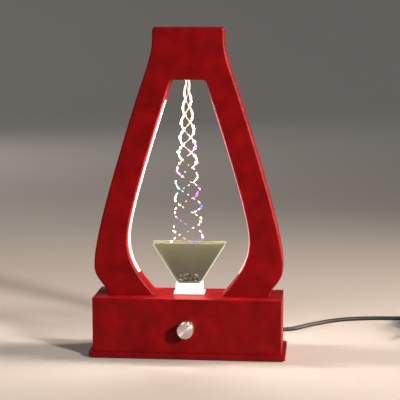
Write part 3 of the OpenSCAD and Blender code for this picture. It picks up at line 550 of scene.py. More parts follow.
def in_plane(axis: int, level: float) -> EdgeTest:
    """Picks edges that lie in the plane where one coordinate has this level, in metres."""
    return lambda a, b: abs(a[axis] - level) < ON_PLANE and abs(b[axis] - level) < ON_PLANE


def beyond(half_x: float, half_y: float) -> EdgeTest:
    """Picks edges with both ends further from the middle than one of these half sizes, in metres."""
    return lambda a, b: all(abs(p.x) > half_x or abs(p.y) > half_y for p in (a, b))


def rising_past(level: float) -> EdgeTest:
    """Picks edges that reach above this height, in metres."""
    return lambda a, b: max(a.z, b.z) > level


def upright(half_x: float, y: float) -> EdgeTest:
    """Picks upright edges at this y, at this distance left or right of the middle, in metres."""
    return every(in_plane(1, y), either(in_plane(0, half_x), in_plane(0, -half_x)))


def rounded_copy(node: str, cuts: Sequence[RoundOver]) -> bpy.types.Mesh:
    """Copies a solid's mesh, joins its flat faces and rounds its edges over.

    Args:
        node: the solid's name.
        cuts: the round-overs, in order.

    Returns:
        The new mesh.
    """
    work = bmesh.new()
    work.from_mesh(frame["nodes"][node].data)
    bmesh.ops.remove_doubles(work, verts=work.verts, dist=SOLID_WELD)
    bmesh.ops.dissolve_limit(work, angle_limit=math.radians(FLAT_DEG), verts=work.verts, edges=work.edges)
    for cut in cuts:
        sharp = [e for e in work.edges if e.is_manifold and e.calc_face_angle(0) > math.radians(ROUND_DEG)
                 and cut.chosen(e.verts[0].co, e.verts[1].co)]
        bmesh.ops.bevel(work, geom=sharp, offset=cut.radius_mm * MM, segments=cut.steps, profile=0.5,
                        affect="EDGES", clamp_overlap=True, material=cut.material)
    bmesh.ops.remove_doubles(work, verts=work.verts, dist=SOLID_WELD)
    bmesh.ops.dissolve_degenerate(work, edges=work.edges, dist=SOLID_WELD)
    mesh = bpy.data.meshes.new(node + "_rounded")
    work.to_mesh(mesh)
    work.free()
    mesh.shade_smooth()
    mesh.set_sharp_from_angle(angle=math.radians(SHARP_DEG))
    return mesh


def rounded_piece(name: str, node: str, cuts: Sequence[RoundOver], finishes: Sequence[Finish]) -> None:
    """Puts a copy with rounded edges in a solid's place, and keeps its large faces flat beside them.

    Args:
        name: the piece's name.
        node: the solid's name.
        cuts: the round-overs, in order.
        finishes: the piece's finishes, in the order of the cuts' material numbers.
    """
    materials = [finish.material() for finish in finishes]
    piece = new_piece(name, rounded_copy(node, cuts), materials, replaced=[node])
    weigh = piece.modifiers.new("flat_faces", "WEIGHTED_NORMAL")
    weigh.keep_sharp = True


@dataclass
class Arch:
    """The two halves of the arched frame, each rounded over at its outer rim."""

    rim_mm: float = 2.0
    foot_clear_mm: float = 0.2

    def build(self) -> None:
        """Makes both halves, without rounding the edges that stand on the base."""
        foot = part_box("top_board")[1].z + self.foot_clear_mm * MM
        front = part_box("frame_cover")[0].y
        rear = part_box("frame_body")[1].y
        for name, node, level in (("arch_front", "frame_cover", front), ("arch_rear", "frame_body", rear)):
            rim = every(in_plane(1, level), rising_past(foot))
            rounded_piece(name, node, [RoundOver(self.rim_mm, rim)], [LACQUER])


@dataclass
class Base:
    """The box of boards and its plinth, rounded over where the boards meet the hand."""

    corner_mm: float = 1.6
    top_mm: float = 2.0
    plinth_corner_mm: float = 3.0
    plinth_corner_steps: int = 5
    plinth_top_mm: float = 1.4
    ledge_mm: float = 1.0

    def build(self) -> None:
        """Makes the boards that show a rounded edge, without rounding their bores."""
        low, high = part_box("top_board")
        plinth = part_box("plinth_board")[1]
        inset, ledge = 2 * self.corner_mm * MM, self.ledge_mm * MM
        front, rear = upright(high.x, low.y), upright(high.x, high.y)
        top_rim = every(in_plane(2, high.z), beyond(high.x - inset, high.y - inset))
        plinth_rim = every(in_plane(2, plinth.z), beyond(high.x + ledge, high.y + ledge))
        plinth_corner = either(upright(plinth.x, plinth.y), upright(plinth.x, -plinth.y))
        plans = {
            "front_board": [RoundOver(self.corner_mm, front)],
            "rear_board": [RoundOver(self.corner_mm, rear)],
            "top_board": [RoundOver(self.corner_mm, either(front, rear)), RoundOver(self.top_mm, top_rim)],
            "plinth_board": [RoundOver(self.plinth_corner_mm, plinth_corner, self.plinth_corner_steps),
                             RoundOver(self.plinth_top_mm, plinth_rim)],
        }
        for node, cuts in plans.items():
            rounded_piece("lacquered_" + node, node, cuts, [LACQUER])


@dataclass
class Funnel:
    """The funnel of acrylic sheet with a painted highlight glowing on its front edges, and the collar it
    stands in.
    """

    edge_mm: float = 0.9
    rim_mm: float = 0.5
    collar_mm: float = 0.6
    steps: int = 3
    outer_mm: float = 1.0

    def slanted(self, front_only: bool) -> EdgeTest:
        """Picks the outer edges that run down the funnel's corners.

        Args:
            front_only: whether to leave out the rear corners.

        Returns:
            The test.
        """
        low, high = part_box("funnel")
        tall = (high.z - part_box("funnel_collar")[1].z) / 2
        side = high.x - self.outer_mm * MM

        def chosen(a: Vector, b: Vector) -> bool:
            """Tells whether the edge between two corners is one of them."""
            outer = abs(a.z - b.z) > tall and max(abs(a.x), abs(b.x)) > side
            return outer and (not front_only or a.y + b.y < low.y + high.y)

        return chosen

    def build(self) -> None:
        """Makes the funnel and its collar."""
        rim = in_plane(2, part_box("funnel")[1].z)
        # The front corners take the painted highlight (material 1); the rim and the rear corners keep the
        # plain acrylic
        cuts = [RoundOver(self.rim_mm, rim, self.steps, 0),
                RoundOver(self.edge_mm, self.slanted(True), self.steps, 1),
                RoundOver(self.edge_mm, self.slanted(False), self.steps, 0)]
        rounded_piece("acrylic_funnel", "funnel", cuts, [ACRYLIC, ACRYLIC_EDGE_PAINTED_GLINT])
        # The collar takes the painted glow of the strips' light
        top = in_plane(2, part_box("funnel_collar")[1].z)
        cuts = [RoundOver(self.collar_mm, top, self.steps)]
        rounded_piece("collar_painted_glow", "funnel_collar", cuts, [PLASTIC_PAINTED_GLOW])


@dataclass
class Braid:
    """The lines that the water falls along: strands that turn round each other and spread."""

    strands: int = 3
    axis_x_mm: float = -2.1
    axis_y_mm: float = 4.0
    pitch_mm: float = 46.0
    twist_start_mm: float = 20.0
    half_top_mm: float = 1.5
    half_end_mm: float = 16.1
    early_spread: float = 0.25
    flat: float = 0.37
    end_below_rim_mm: float = 4.4
    tip_mm: float = field(init=False)
    fall_mm: float = field(init=False)

    def __post_init__(self) -> None:
        """Takes the fall's ends from the nozzle and the funnel."""
        self.tip_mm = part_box("spray_nozzle")[0].z / MM
        self.fall_mm = self.tip_mm - (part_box("funnel")[1].z / MM - self.end_below_rim_mm)

    def half_width(self, drop: np.ndarray) -> np.ndarray:
        """Gives the braid's half width, which grows quickly at first and then more slowly.

        Args:
            drop: millimetres below the nozzle's tip.

        Returns:
            The half width in millimetres.
        """
        share = drop / self.fall_mm
        spread = (1 + self.early_spread) * share - self.early_spread * share ** 2
        return self.half_top_mm + (self.half_end_mm - self.half_top_mm) * spread

    def line(self, drop: np.ndarray, strand: np.ndarray) -> np.ndarray:
        """Places points of the braid: a circle that widens and turns with the drop, pressed flat in depth.

        Args:
            drop: millimetres below the nozzle's tip.
            strand: which strand, from 0.

        Returns:
            Points in metres.
        """
        half = self.half_width(drop)
        angle = 2 * np.pi * ((drop - self.twist_start_mm) / self.pitch_mm + strand / self.strands)
        x = self.axis_x_mm + half * np.cos(angle)
        y = self.axis_y_mm + self.flat * half * np.sin(angle)
        return MM * np.stack([x, y, self.tip_mm - drop], axis=-1)

    def lit(self, points: np.ndarray) -> np.ndarray:
        """Says how much light points of the braid take: all at the sides, little where strands cross.

        Args:
            points: points in metres.

        Returns:
            A share from 0 to 1: how far out each point is, of the braid's half width at its height.
        """
        half = self.half_width(self.tip_mm - points[..., 2] / MM)
        return np.clip(np.abs(points[..., 0] / MM - self.axis_x_mm) / half, 0, 1)


@dataclass
class Streams:
    """The unbroken upper strands, slim at the nozzle, which bead more and more until they break."""

    braid: Braid
    radius_mm: float = 1.1
    start_mm: float = 0.2
    break_mm: float = 78.0
    break_step_mm: float = 5.0
    slim: float = 0.65
    slim_mm: float = 16.0
    bead: float = 0.12
    bead_growth: float = 0.3
    bead_mm: float = 6.3
    bead_turn: float = 2.1
    ripple: float = 0.6
    ripple_mm: float = 3.7
    point_mm: float = 2.0
    blunt_mm: float = 0.3
    thin: float = 0.35
    swell: float = 0.75
    rings: int = 260

    def lay(self) -> tuple[np.ndarray, np.ndarray]:
        """Lays out the strands: the radius is 1 + two cosines that grow, and it ends in a point.

        Returns:
            Paths and radii in metres.
        """
        strand = np.arange(self.braid.strands)[:, None]
        drop = np.linspace(self.start_mm, self.break_mm, self.rings)[None] + 0 * strand
        drop = drop + self.break_step_mm * strand * (drop / self.break_mm) ** 4
        depth = self.bead + self.bead_growth * (drop / self.break_mm) ** 2
        wave = (np.cos(2 * np.pi * drop / self.bead_mm + self.bead_turn * strand)
                + self.ripple * np.cos(2 * np.pi * drop / self.ripple_mm + strand))
        slim = self.slim + (1 - self.slim) * np.minimum(1, drop / self.slim_mm)
        left = drop.max(1, keepdims=True) + self.blunt_mm - drop
        radius = self.radius_mm * (1 + depth * wave) * slim * np.sqrt(np.minimum(1, left / self.point_mm))
        path = self.braid.line(drop, strand)
        return path, MM * radius * (self.thin + self.swell * self.braid.lit(path))


@dataclass
class Drops:
    """The drops that the strands break into: long at the braid's sides, short where strands cross."""

    streams: Streams
    spacing_mm: float = 3.6
    jitter: float = 0.25
    first_mm: float = 6.0
    stagger_mm: float = 1.7
    short_mm: float = 1.0
    long_mm: float = 4.4
    shorten: float = 1.2
    length_range: tuple[float, float] = (0.8, 1.35)
    lost: float = 0.22
    less_lost_at_side: float = 0.2
    stray_mm: float = 0.6
    stray_depth: float = 0.6
    girth_range: tuple[float, float] = (0.55, 1.1)
    thin: float = 0.45
    swell: float = 0.6
    trim: float = 0.03
    lean: float = 1.25
    rings: int = 13
    seed: int = 11

    def lay(self) -> tuple[np.ndarray, np.ndarray]:
        """Lays out the drops at a jittered spacing, each a stretch of its strand that strays a little.

        Returns:
            Paths and radii in metres.
        """
        draw = np.random.default_rng(self.seed)
        braid, above = self.streams.braid, self.streams.break_mm
        count = int((braid.fall_mm - above) / self.spacing_mm)
        step = np.arange(count)[None] + draw.uniform(-self.jitter, self.jitter, (braid.strands, count))
        strand = np.arange(braid.strands)[:, None] + 0 * step
        start = above + self.first_mm + self.stagger_mm * strand + self.spacing_mm * step
        side = braid.lit(braid.line(start, strand))
        length = self.short_mm + self.long_mm * side ** 2 * (self.shorten - start / braid.fall_mm)
        length = length * draw.uniform(*self.length_range, start.shape)
        lost = draw.uniform(0, 1, start.shape) <= self.lost - self.less_lost_at_side * side
        kept = (start + length < braid.fall_mm) & ~lost
        start, length, strand = (rows[kept][:, None] for rows in (start, length, strand))
        t = np.linspace(0, 1, self.rings)[None]
        path = braid.line(start + length * t, strand)
        stray = draw.normal(0, self.stray_mm, (len(start), 1, 2)) * np.array([1, self.stray_depth])
        path[..., :2] += MM * stray
        girth = self.streams.radius_mm * draw.uniform(*self.girth_range, (len(start), 1))
        radius = girth * (self.thin + self.swell * braid.lit(path))
        return path, MM * radius * drop_outline(t, self.trim, self.lean)


@dataclass(frozen=True)
class PaintedLightTint:
    """Painted coloured light that the water takes near a height, on one side of the braid or on both."""

    colour: str
    height_mm: float
    spread_mm: float
    side: float


@dataclass
class Fall:
    """The falling water, with a painted glow: white, with painted warm shade where strands cross and
    painted coloured light in places.
    """

    sides: int = 10
    white: str = "#fff3e4"
    # Painted warm shade where strands cross and take less light, then painted coloured light in bands of
    # height
    crossing: str = "#d98f78"
    crossing_share: float = 0.9
    crossing_power: float = 1.3
    painted_light_tints: tuple[PaintedLightTint, ...] = (
        PaintedLightTint("#ffc9a0", 241, 7, 0), PaintedLightTint("#f59ae0", 210, 6, 1), PaintedLightTint("#e86fe6", 163, 8, 1),
        PaintedLightTint("#8fe9ff", 170, 8, -1), PaintedLightTint("#ff9ad2", 184, 5, -1), PaintedLightTint("#a64bff", 137, 5, -1),
        PaintedLightTint("#7a5cff", 114, 5, 1), PaintedLightTint("#6d7dff", 150, 5, 1), PaintedLightTint("#4c5cff", 109, 3, 0))

    def painted_light(self, points: np.ndarray, lit: np.ndarray) -> np.ndarray:
        """Mixes into white the painted warm shade where strands cross, then each painted coloured light by
        a bell curve in height, on its side of the braid.

        Args:
            points: points in metres, one a row.
            lit: how much light each takes, from 0 to 1.

        Returns:
            A colour for each point, as four columns.
        """
        shade = np.tile(linear(self.white), (len(points), 1))
        # Where strands cross they take less light: painted warm shade
        crossing_shade_mix = self.crossing_share * (1 - lit)[:, None] ** self.crossing_power
        shade += crossing_shade_mix * (np.array(linear(self.crossing)) - shade)
        for painted_light in self.painted_light_tints:
            bell = np.exp(-((points[:, 2] / MM - painted_light.height_mm) / painted_light.spread_mm) ** 2)
            near = 1 / (1 + np.exp(-painted_light.side * points[:, 0] / MM)) if painted_light.side else 1
            shade += (bell * near)[:, None] * (np.array(linear(painted_light.colour)) - shade)
        return shade

    def material(self) -> bpy.types.Material:
        """Makes the water: clear and smooth, with a painted glow in the painted light colour of each point.

        Returns:
            The material.
        """
        made = blank_material("falling_water_painted_glow")
        tree = made.node_tree
        painted_light = add_node(tree, "ShaderNodeAttribute", attribute_name=PAINTED_LIGHT_MAP).outputs["Color"]
        # The emission is a painted glow that stands in for the strips' light in the water
        shader = add_node(tree, "ShaderNodeBsdfPrincipled", {
            "Base Color": painted_light, "Roughness": 0.08, "IOR": 1.33, "Transmission Weight": 0.85,
            "Emission Color": painted_light, "Emission Strength": 0.85})
        add_node(tree, "ShaderNodeOutputMaterial", {"Surface": shader.outputs["BSDF"]})
        return made

    def build(self) -> None:
        """Makes the strands and the drops as two pieces."""
        material = self.material()
        braid = Braid()
        streams = Streams(braid)
        for name, part, replaced in (("water_streams", streams, ["water_strands"]),
                                     ("water_drops", Drops(streams), [])):
            mesh = mesh_of(name, *tubes(*part.lay(), self.sides))
            points = mesh_points(mesh)
            shade = mesh.attributes.new(PAINTED_LIGHT_MAP, "FLOAT_COLOR", "POINT")
            painted_light = self.painted_light(points, braid.lit(points))
            shade.data.foreach_set("color", painted_light.astype(np.float32).ravel())
            new_piece(name, mesh, [material], replaced=replaced)


@dataclass
class Foam:
    """Bubbles that gather in the funnel's neck, and a trickle that runs down into them."""

    bubbles: int = 110
    half_x_mm: float = 9.2
    half_y_mm: float = 2.4
    half_z_mm: float = 3.4
    level_mm: float = 4.2
    size_mm: tuple[float, float] = (0.45, 1.1)
    ball_rings: int = 9
    ball_sides: int = 14
    seed: int = 5
    trickle_mm: float = 0.45
    trickle_x_mm: float = 4.3
    trickle_sway_mm: float = 0.25
    trickle_turn: float = 9.0
    below_rim_mm: float = 9.0
    above_neck_mm: float = 4.0
    trickle_trim: float = 0.02
    trickle_rings: int = 30
    trickle_sides: int = 8

    def balls(self, middle: np.ndarray) -> tuple[np.ndarray, Faces]:
        """Blows the bubbles: middle + r (cos u cos v, sin u cos v, sin v) on a grid of u and v.

        Args:
            middle: the middle of the foam, in millimetres.

        Returns:
            Points in metres, and faces.
        """
        draw = np.random.default_rng(self.seed)
        reach = np.array([self.half_x_mm, self.half_y_mm, self.half_z_mm])
        place = middle + reach * draw.uniform(-1, 1, (self.bubbles, 3))
        radius = draw.uniform(*self.size_mm, (self.bubbles, 1, 1, 1))
        v = np.linspace(-0.5 * np.pi, 0.5 * np.pi, self.ball_rings)[:, None]
        u = round_angles(self.ball_sides)[None]
        ball = np.stack([np.cos(u) * np.cos(v), np.sin(u) * np.cos(v), np.sin(v) + 0 * u], -1)
        points = MM * (place[:, None, None] + radius * ball[None])
        return points, repeated(ring_faces(v.size, u.size), self.bubbles, v.size * u.size)

    def trickle(self, rim: float, neck: float, y: float) -> tuple[np.ndarray, Faces]:
        """Runs a thin drop down inside the funnel, on a sine that sways a little.

        Args:
            rim: the funnel's highest z, in millimetres.
            neck: z of its neck.
            y: the middle of the funnel in depth.

        Returns:
            Points in metres, and faces.
        """
        t = np.linspace(0, 1, self.trickle_rings)[None]
        x = self.trickle_x_mm + self.trickle_sway_mm * np.sin(self.trickle_turn * t)
        z = rim - self.below_rim_mm - (rim - neck - self.below_rim_mm - self.above_neck_mm) * t
        radius = MM * self.trickle_mm * drop_outline(t, self.trickle_trim)
        return tubes(MM * np.stack([x, y + 0 * t, z], -1), radius, self.trickle_sides)

    def build(self) -> None:
        """Makes the foam and the trickle as two pieces."""
        low, high = (np.array(corner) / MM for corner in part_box("funnel"))
        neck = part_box("funnel_collar")[1].z / MM
        x, y, _ = (low + high) / 2
        foam = self.balls(np.array([x, y, neck + self.level_mm]))
        trickle = self.trickle(high[2], neck, y)
        for name, shape, finish in (("neck_foam", foam, FROTH),
                                    ("funnel_trickle", trickle, SLOT_FINISH["water"])):
            new_piece(name, mesh_of(name, *shape), [finish.material()])


@dataclass
class Knob:
    """The turned aluminium knob: a faced front with fine rings, its edge rounded over."""

    edge_mm: float = 0.8
    rear_mm: float = 0.3
    ring_mm: float = 0.45
    ring_deep_mm: float = 0.012
    middle_mm: float = 0.02
    face_rings: int = 150
    edge_rings: int = 8
    sides: int = 128
    seam_turn: float = 0.25
    crease_deg: float = 40.0

    def profile(self, radius: float, front: float, rear: float) -> np.ndarray:
        """Draws the knob's outline from the middle of its face to the rim at its rear.

        The face is a cosine of shallow rings, the front edge a quarter circle, the rear edge a chamfer.

        Args:
            radius: the knob's radius in metres.
            front: y of its face.
            rear: y of its rear rim.

        Returns:
            Radius and y in metres, one row a point.
        """
        edge, back = self.edge_mm * MM, self.rear_mm * MM
        r = np.linspace(self.middle_mm * MM, radius - edge, self.face_rings)
        ring = self.ring_deep_mm * MM * (1 - np.cos(2 * np.pi * r / (self.ring_mm * MM))) / 2
        bend = np.linspace(0, np.pi / 2, self.edge_rings)[1:]
        quarter = np.stack([radius - edge * (1 - np.sin(bend)), front + edge * (1 - np.cos(bend))], 1)
        rim = np.array([[radius, rear - back], [radius - back, rear]])
        return np.vstack([np.stack([r, front + ring], 1), quarter, rim])

    def chart(self, mesh: bpy.types.Mesh, centre: Vector) -> None:
        """Maps the knob: turns round the axis, then millimetres outwards.

        A quad over the seam counts its low turns one up, so that it isn't stretched round the knob.

        Args:
            mesh: the knob's mesh.
            centre: a point of its axis.
        """
        corner = np.empty(len(mesh.loops), np.int32)
        mesh.loops.foreach_get("vertex_index", corner)
        arm = mesh_points(mesh)[corner] - np.array(centre)
        turn = np.arctan2(arm[:, 2], arm[:, 0]) / (2 * np.pi) % 1
        size = np.empty(len(mesh.polygons), np.int32)
        mesh.polygons.foreach_get("loop_total", size)
        face = np.repeat(np.arange(len(size)), size)
        most = np.zeros(len(size))
        np.maximum.at(most, face, turn)
        over_seam = (size[face] == 4) & (most[face] > 1 - self.seam_turn) & (turn < self.seam_turn)
        chart = mesh.uv_layers.new(name=TURN_MAP)
        out = np.hypot(arm[:, 0], arm[:, 2]) / MM
        chart.data.foreach_set("uv", np.stack([turn + over_seam, out], 1).ravel())

    def build(self) -> None:
        """Makes the knob and its map."""
        low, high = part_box("control_knob")
        centre = Vector((0, 0, (low.z + high.z) / 2))
        profile = self.profile((high.x - low.x) / 2, low.y, high.y)
        mesh = mesh_of("turned_knob", *turned(profile, centre, self.sides), self.crease_deg)
        self.chart(mesh, centre)
        new_piece("turned_knob", mesh, [SPUN_ALUMINIUM.material()], KNOB,
                  ["control_knob"])


@dataclass
class Screws:
    """Countersunk wood screws with a cross recess."""

    head_mm: float = 3.0
    apart_mm: float = 7.5
    sink_mm: float = 2.0
    shank_mm: float = 1.5
    point_mm: float = 2.0
    tip_mm: float = 0.2
    recess_mm: float = 1.1
    slot_mm: float = 0.5
    slot_edge_mm: float = 0.2
    reach_mm: float = 1.9
    reach_edge_mm: float = 0.5
    middle_mm: float = 0.01
    face_rings: int = 26
    sides: int = 48
    crease_deg: float = 35.0

    def places(self, node: str, axis: int, level: float) -> np.ndarray:
        """Finds the middles of a node's screw heads: the mean of the corners within apart_mm of each one.

        Each middle is rounded to a micrometre, so that it counts once for all corners of its head.

        Args:
            node: the solid that holds the screws.
            axis: the axis along which the screws lie.
            level: where the heads' flat faces lie on that axis, in metres.

        Returns:
            One point a row.
        """
        work = bmesh.new()
        work.from_mesh(frame["nodes"][node].data)
        bmesh.ops.remove_doubles(work, verts=work.verts, dist=SOLID_WELD)
        corners = np.array([v.co for v in work.verts])
        work.free()
        face = corners[np.abs(corners[:, axis] - level) < ON_PLANE]
        near = np.linalg.norm(face[:, None] - face[None], axis=-1) < self.apart_mm * MM
        return np.unique(np.round(near @ face / near.sum(1, keepdims=True), 6), axis=0)

    def shape(self, length: float) -> np.ndarray:
        """Draws one screw along +Y with its face at zero: a disc, then a cone, the shank and its tip.

        The cross is sunk where a point is within slot_mm of either arm and within reach_mm of the middle.

        Args:
            length: in millimetres.

        Returns:
            Points in millimetres, as rings by sides by 3.
        """
        disc = np.stack([np.linspace(self.middle_mm, self.head_mm, self.face_rings),
                         np.zeros(self.face_rings)], 1)
        rest = np.array([[self.shank_mm, self.sink_mm], [self.shank_mm, length - self.point_mm],
                         [self.tip_mm, length]])
        radius, y = np.split(np.vstack([disc, rest]), 2, axis=1)
        angle = round_angles(self.sides)[None]
        x, z = radius * np.cos(angle), radius * np.sin(angle)
        off_arm = np.minimum(np.abs(x), np.abs(z))
        arm = np.clip((self.slot_mm - off_arm) / self.slot_edge_mm + 0.5, 0, 1)
        reach = np.clip((self.reach_mm - radius) / self.reach_edge_mm, 0, 1)
        return np.stack([x, y + self.recess_mm * arm * reach * (y == 0), z], -1)

    def build(self) -> None:
        """Makes the screws in the frame's back, driven forwards, and under the plinth, driven upwards."""
        for node, axis, forwards in (("frame_screws", 1, True), ("plinth_screws", 2, False)):
            low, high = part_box(node)
            places = self.places(node, axis, high[axis] if forwards else low[axis])
            one = self.shape((high[axis] - low[axis]) / MM)
            one = one * np.array([1, -1, 1]) if forwards else one[..., [0, 2, 1]]
            faces = tube_faces(len(one), self.sides, len(places))
            points = places[:, None, None] + MM * one[None]
            mesh = mesh_of(node + "_cross_head", points, faces, self.crease_deg)
            new_piece("cross_head_" + node, mesh, [SLOT_FINISH["screw_steel"].material()],
                      replaced=[node])


@dataclass
class Cord:
    """The cord: out of the boot, over the table to the right, then wound into a coil with its plug."""

    diameter_mm: float = 4.4
    turns: float = 7.25
    space_mm: float = 0.6
    middle_mm: float = 26.5
    per_turn: int = 24
    per_span: int = 3
    sides: int = 14
    coil_x_mm: float = 260.0
    run_y_mm: float = 168.0
    lift_mm: float = 3.1
    route_mm: tuple[Triple, ...] = (
        (50, 51, 13), (50, 58, 13), (50, 66, 11.4), (51.5, 75, 8), (56, 84, 4.6), (64, 91.5, 2.7),
        (73, 96, 2.2), (83, 99, 2.2), (94, 101.4, 2.2), (103, 105.4, 2.2), (111, 113.6, 2.2),
        (119, 123.6, 2.2), (127.5, 132.2, 2.2), (136, 140.4, 2.2), (145, 148, 2.2), (156, 155, 2.2),
        (169, 160.6, 2.2), (183, 164.4, 2.2), (197, 166.7, 2.2), (211, 167.8, 2.2), (225, 168, 2.3),
        (238, 168, 2.7), (247, 168, 3.1))
    tail_mm: tuple[Triple, ...] = (
        (295.6, 118, 7.6), (295.2, 109, 6.7), (293, 99, 5.4), (288.4, 89.4, 4.3), (281.6, 83.8, 4),
        (274, 82, 4), (269, 82, 4))

    def coil(self) -> np.ndarray:
        """Winds the coil: a lower layer wound inwards and an upper one wound outwards, a pitch apart.

        Returns:
            The coil's points in millimetres, with a straight lead at each end.
        """
        pitch = self.diameter_mm + self.space_mm
        inner = self.middle_mm - pitch * self.turns / 4
        outer = inner + pitch * self.turns / 2
        turn = np.linspace(0, self.turns, int(self.turns * self.per_turn) + 1)
        past = turn - self.turns / 2
        radius = inner + pitch * np.abs(past)
        angle = np.pi / 2 - 2 * np.pi * turn
        climb = (1 - np.cos(np.pi * np.clip(2 * past + 0.5, 0, 1))) / 2
        points = np.stack([self.coil_x_mm + radius * np.cos(angle),
                           self.run_y_mm - outer + radius * np.sin(angle), self.lift_mm + pitch * climb], 1)
        start = points[0] - [self.diameter_mm, 0, 0]
        end = points[-1] - np.array([[0, self.diameter_mm, 0], [0, 2 * self.diameter_mm, 0]])
        return np.vstack([start, points, end])

    def build(self) -> None:
        """Makes the cord as one tube from the boot to the plug."""
        route = np.vstack([np.array(self.route_mm), self.coil(), np.array(self.tail_mm)])
        path = MM * smooth_line(route, self.per_span)
        radii = np.full((1, len(path)), self.diameter_mm * MM / 2)
        mesh = mesh_of("cord", *tubes(path[None], radii, self.sides))
        cord = new_piece("cord", mesh, [CORD_SHEATH.material()],
                         replaced=["power_cord", "cord_coil", "cord_tail"])


@dataclass
class Boot:
    """The ribbed boot that keeps the cord from kinking where it leaves the base."""

    ribs: int = 6
    rib_mm: float = 0.45
    rib_fade: float = 0.5
    flange_mm: float = 2.0
    step_mm: float = 2.0
    chamfer_mm: float = 0.3
    sheath_mm: float = 0.8
    cone_start_mm: float = 2.2
    cone_short_mm: float = 0.5
    rings: int = 90
    sides: int = 40
    crease_deg: float = 40.0

    def profile(self, flange: float, wall: float, tall: float) -> np.ndarray:
        """Draws the boot: a flange on each side of the wall, then a cone with ribs as a raised cosine.

        Args:
            flange: the flange's radius in millimetres.
            wall: the wall's thickness.
            tall: how far the boot stands out of the wall.

        Returns:
            Radius and y in millimetres from the wall's outer face, one row a point.
        """
        neck = flange - self.step_mm
        tip = Cord.diameter_mm / 2 + self.sheath_mm
        thick, cut = self.flange_mm, self.chamfer_mm
        flanges = [[flange, -thick - wall], [flange, -wall], [neck, -wall], [neck, 0], [flange, 0],
                   [flange, thick - cut], [flange - cut, thick]]
        y = np.linspace(self.cone_start_mm, tall - self.cone_short_mm, self.rings)
        share = (y - y[0]) / (y[-1] - y[0])
        rib = self.rib_mm * (1 - np.cos(2 * np.pi * self.ribs * share)) / 2 * (1 - self.rib_fade * share)
        cone = (neck + cut) * (1 - share) + tip * share - rib
        return np.vstack([flanges, np.stack([cone, y], 1), [[tip - cut, tall]]])

    def build(self) -> None:
        """Turns the boot round the cord's way out of the rear board."""
        low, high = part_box("cord_gland")
        inner, outer = (corner.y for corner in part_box("rear_board"))
        profile = MM * self.profile((high.x - low.x) / 2 / MM, (outer - inner) / MM, (high.y - outer) / MM)
        centre = Vector(((low.x + high.x) / 2, outer, (low.z + high.z) / 2))
        mesh = mesh_of("cord_boot", *turned(profile, centre, self.sides), self.crease_deg)
        new_piece("cord_boot", mesh, [RUBBER.material()], replaced=["cord_gland"])


@dataclass(frozen=True)
class Softbox:
    """A soft rectangular light that faces a point, square unless it is given a height."""

    name: str
    place_m: Triple
    wide_m: float
    watts: float
    colour: str
    aim_m: Triple = (0.0, 0.0, 0.14)
    tall_m: float = 0.0
    spread_deg: float = 180.0

    def build(self) -> None:
        """Adds the light, hidden from the camera."""
        data = bpy.data.lights.new(self.name, "AREA")
        data.shape = "RECTANGLE"
        data.energy = self.watts
        data.size = self.wide_m
        data.size_y = self.tall_m or self.wide_m
        data.spread = math.radians(self.spread_deg)
        data.color = linear(self.colour)[:3]
        light = bpy.data.objects.new(self.name, data)
        light.location = self.place_m
        light.visible_camera = False
        light.rotation_mode = "QUATERNION"
        light.rotation_quaternion = (Vector(self.aim_m) - Vector(self.place_m)).to_track_quat("-Z", "Y")
        bpy.context.scene.collection.objects.link(light)


# A key high on the right in front, a weak fill on the left, one above, one on the right, one behind
ROOM_LIGHTS = (
    Softbox("key", (1.6, -1.55, 1.05), 0.25, 9.7, "#fff3e6", spread_deg=70),
    Softbox("fill", (-1.6, -1.9, 1.0), 1.4, 0.5, "#eef2ff"),
    Softbox("top", (0.05, -1.3, 2.1), 0.3, 5.8, "#fff8f0"),
    Softbox("side", (2.2, 0.4, 0.7), 0.6, 7.8, "#ffe4cf", spread_deg=50),
    Softbox("back", (-1.4, 1.9, 1.1), 1.0, 9, "#fff8f0"))
# The light that the strips throw inwards, low and high in each leg, left and then right
STRIP_LIGHTS = tuple(
    Softbox(name, (side * x, y, z), 0.008, watts, "#fff2ea", (-side * aim_x, y, aim_z), tall, 110)
    for side in (-1, 1)
    for name, x, y, z, watts, aim_x, aim_z, tall in (
        ("low_strip_glow", 0.05, 0.004, 0.135, 0.19, 0.02, 0.09, 0.08),
        ("high_strip_glow", 0.035, 0.002, 0.215, 0.18, 0.04, 0.19, 0.09)))


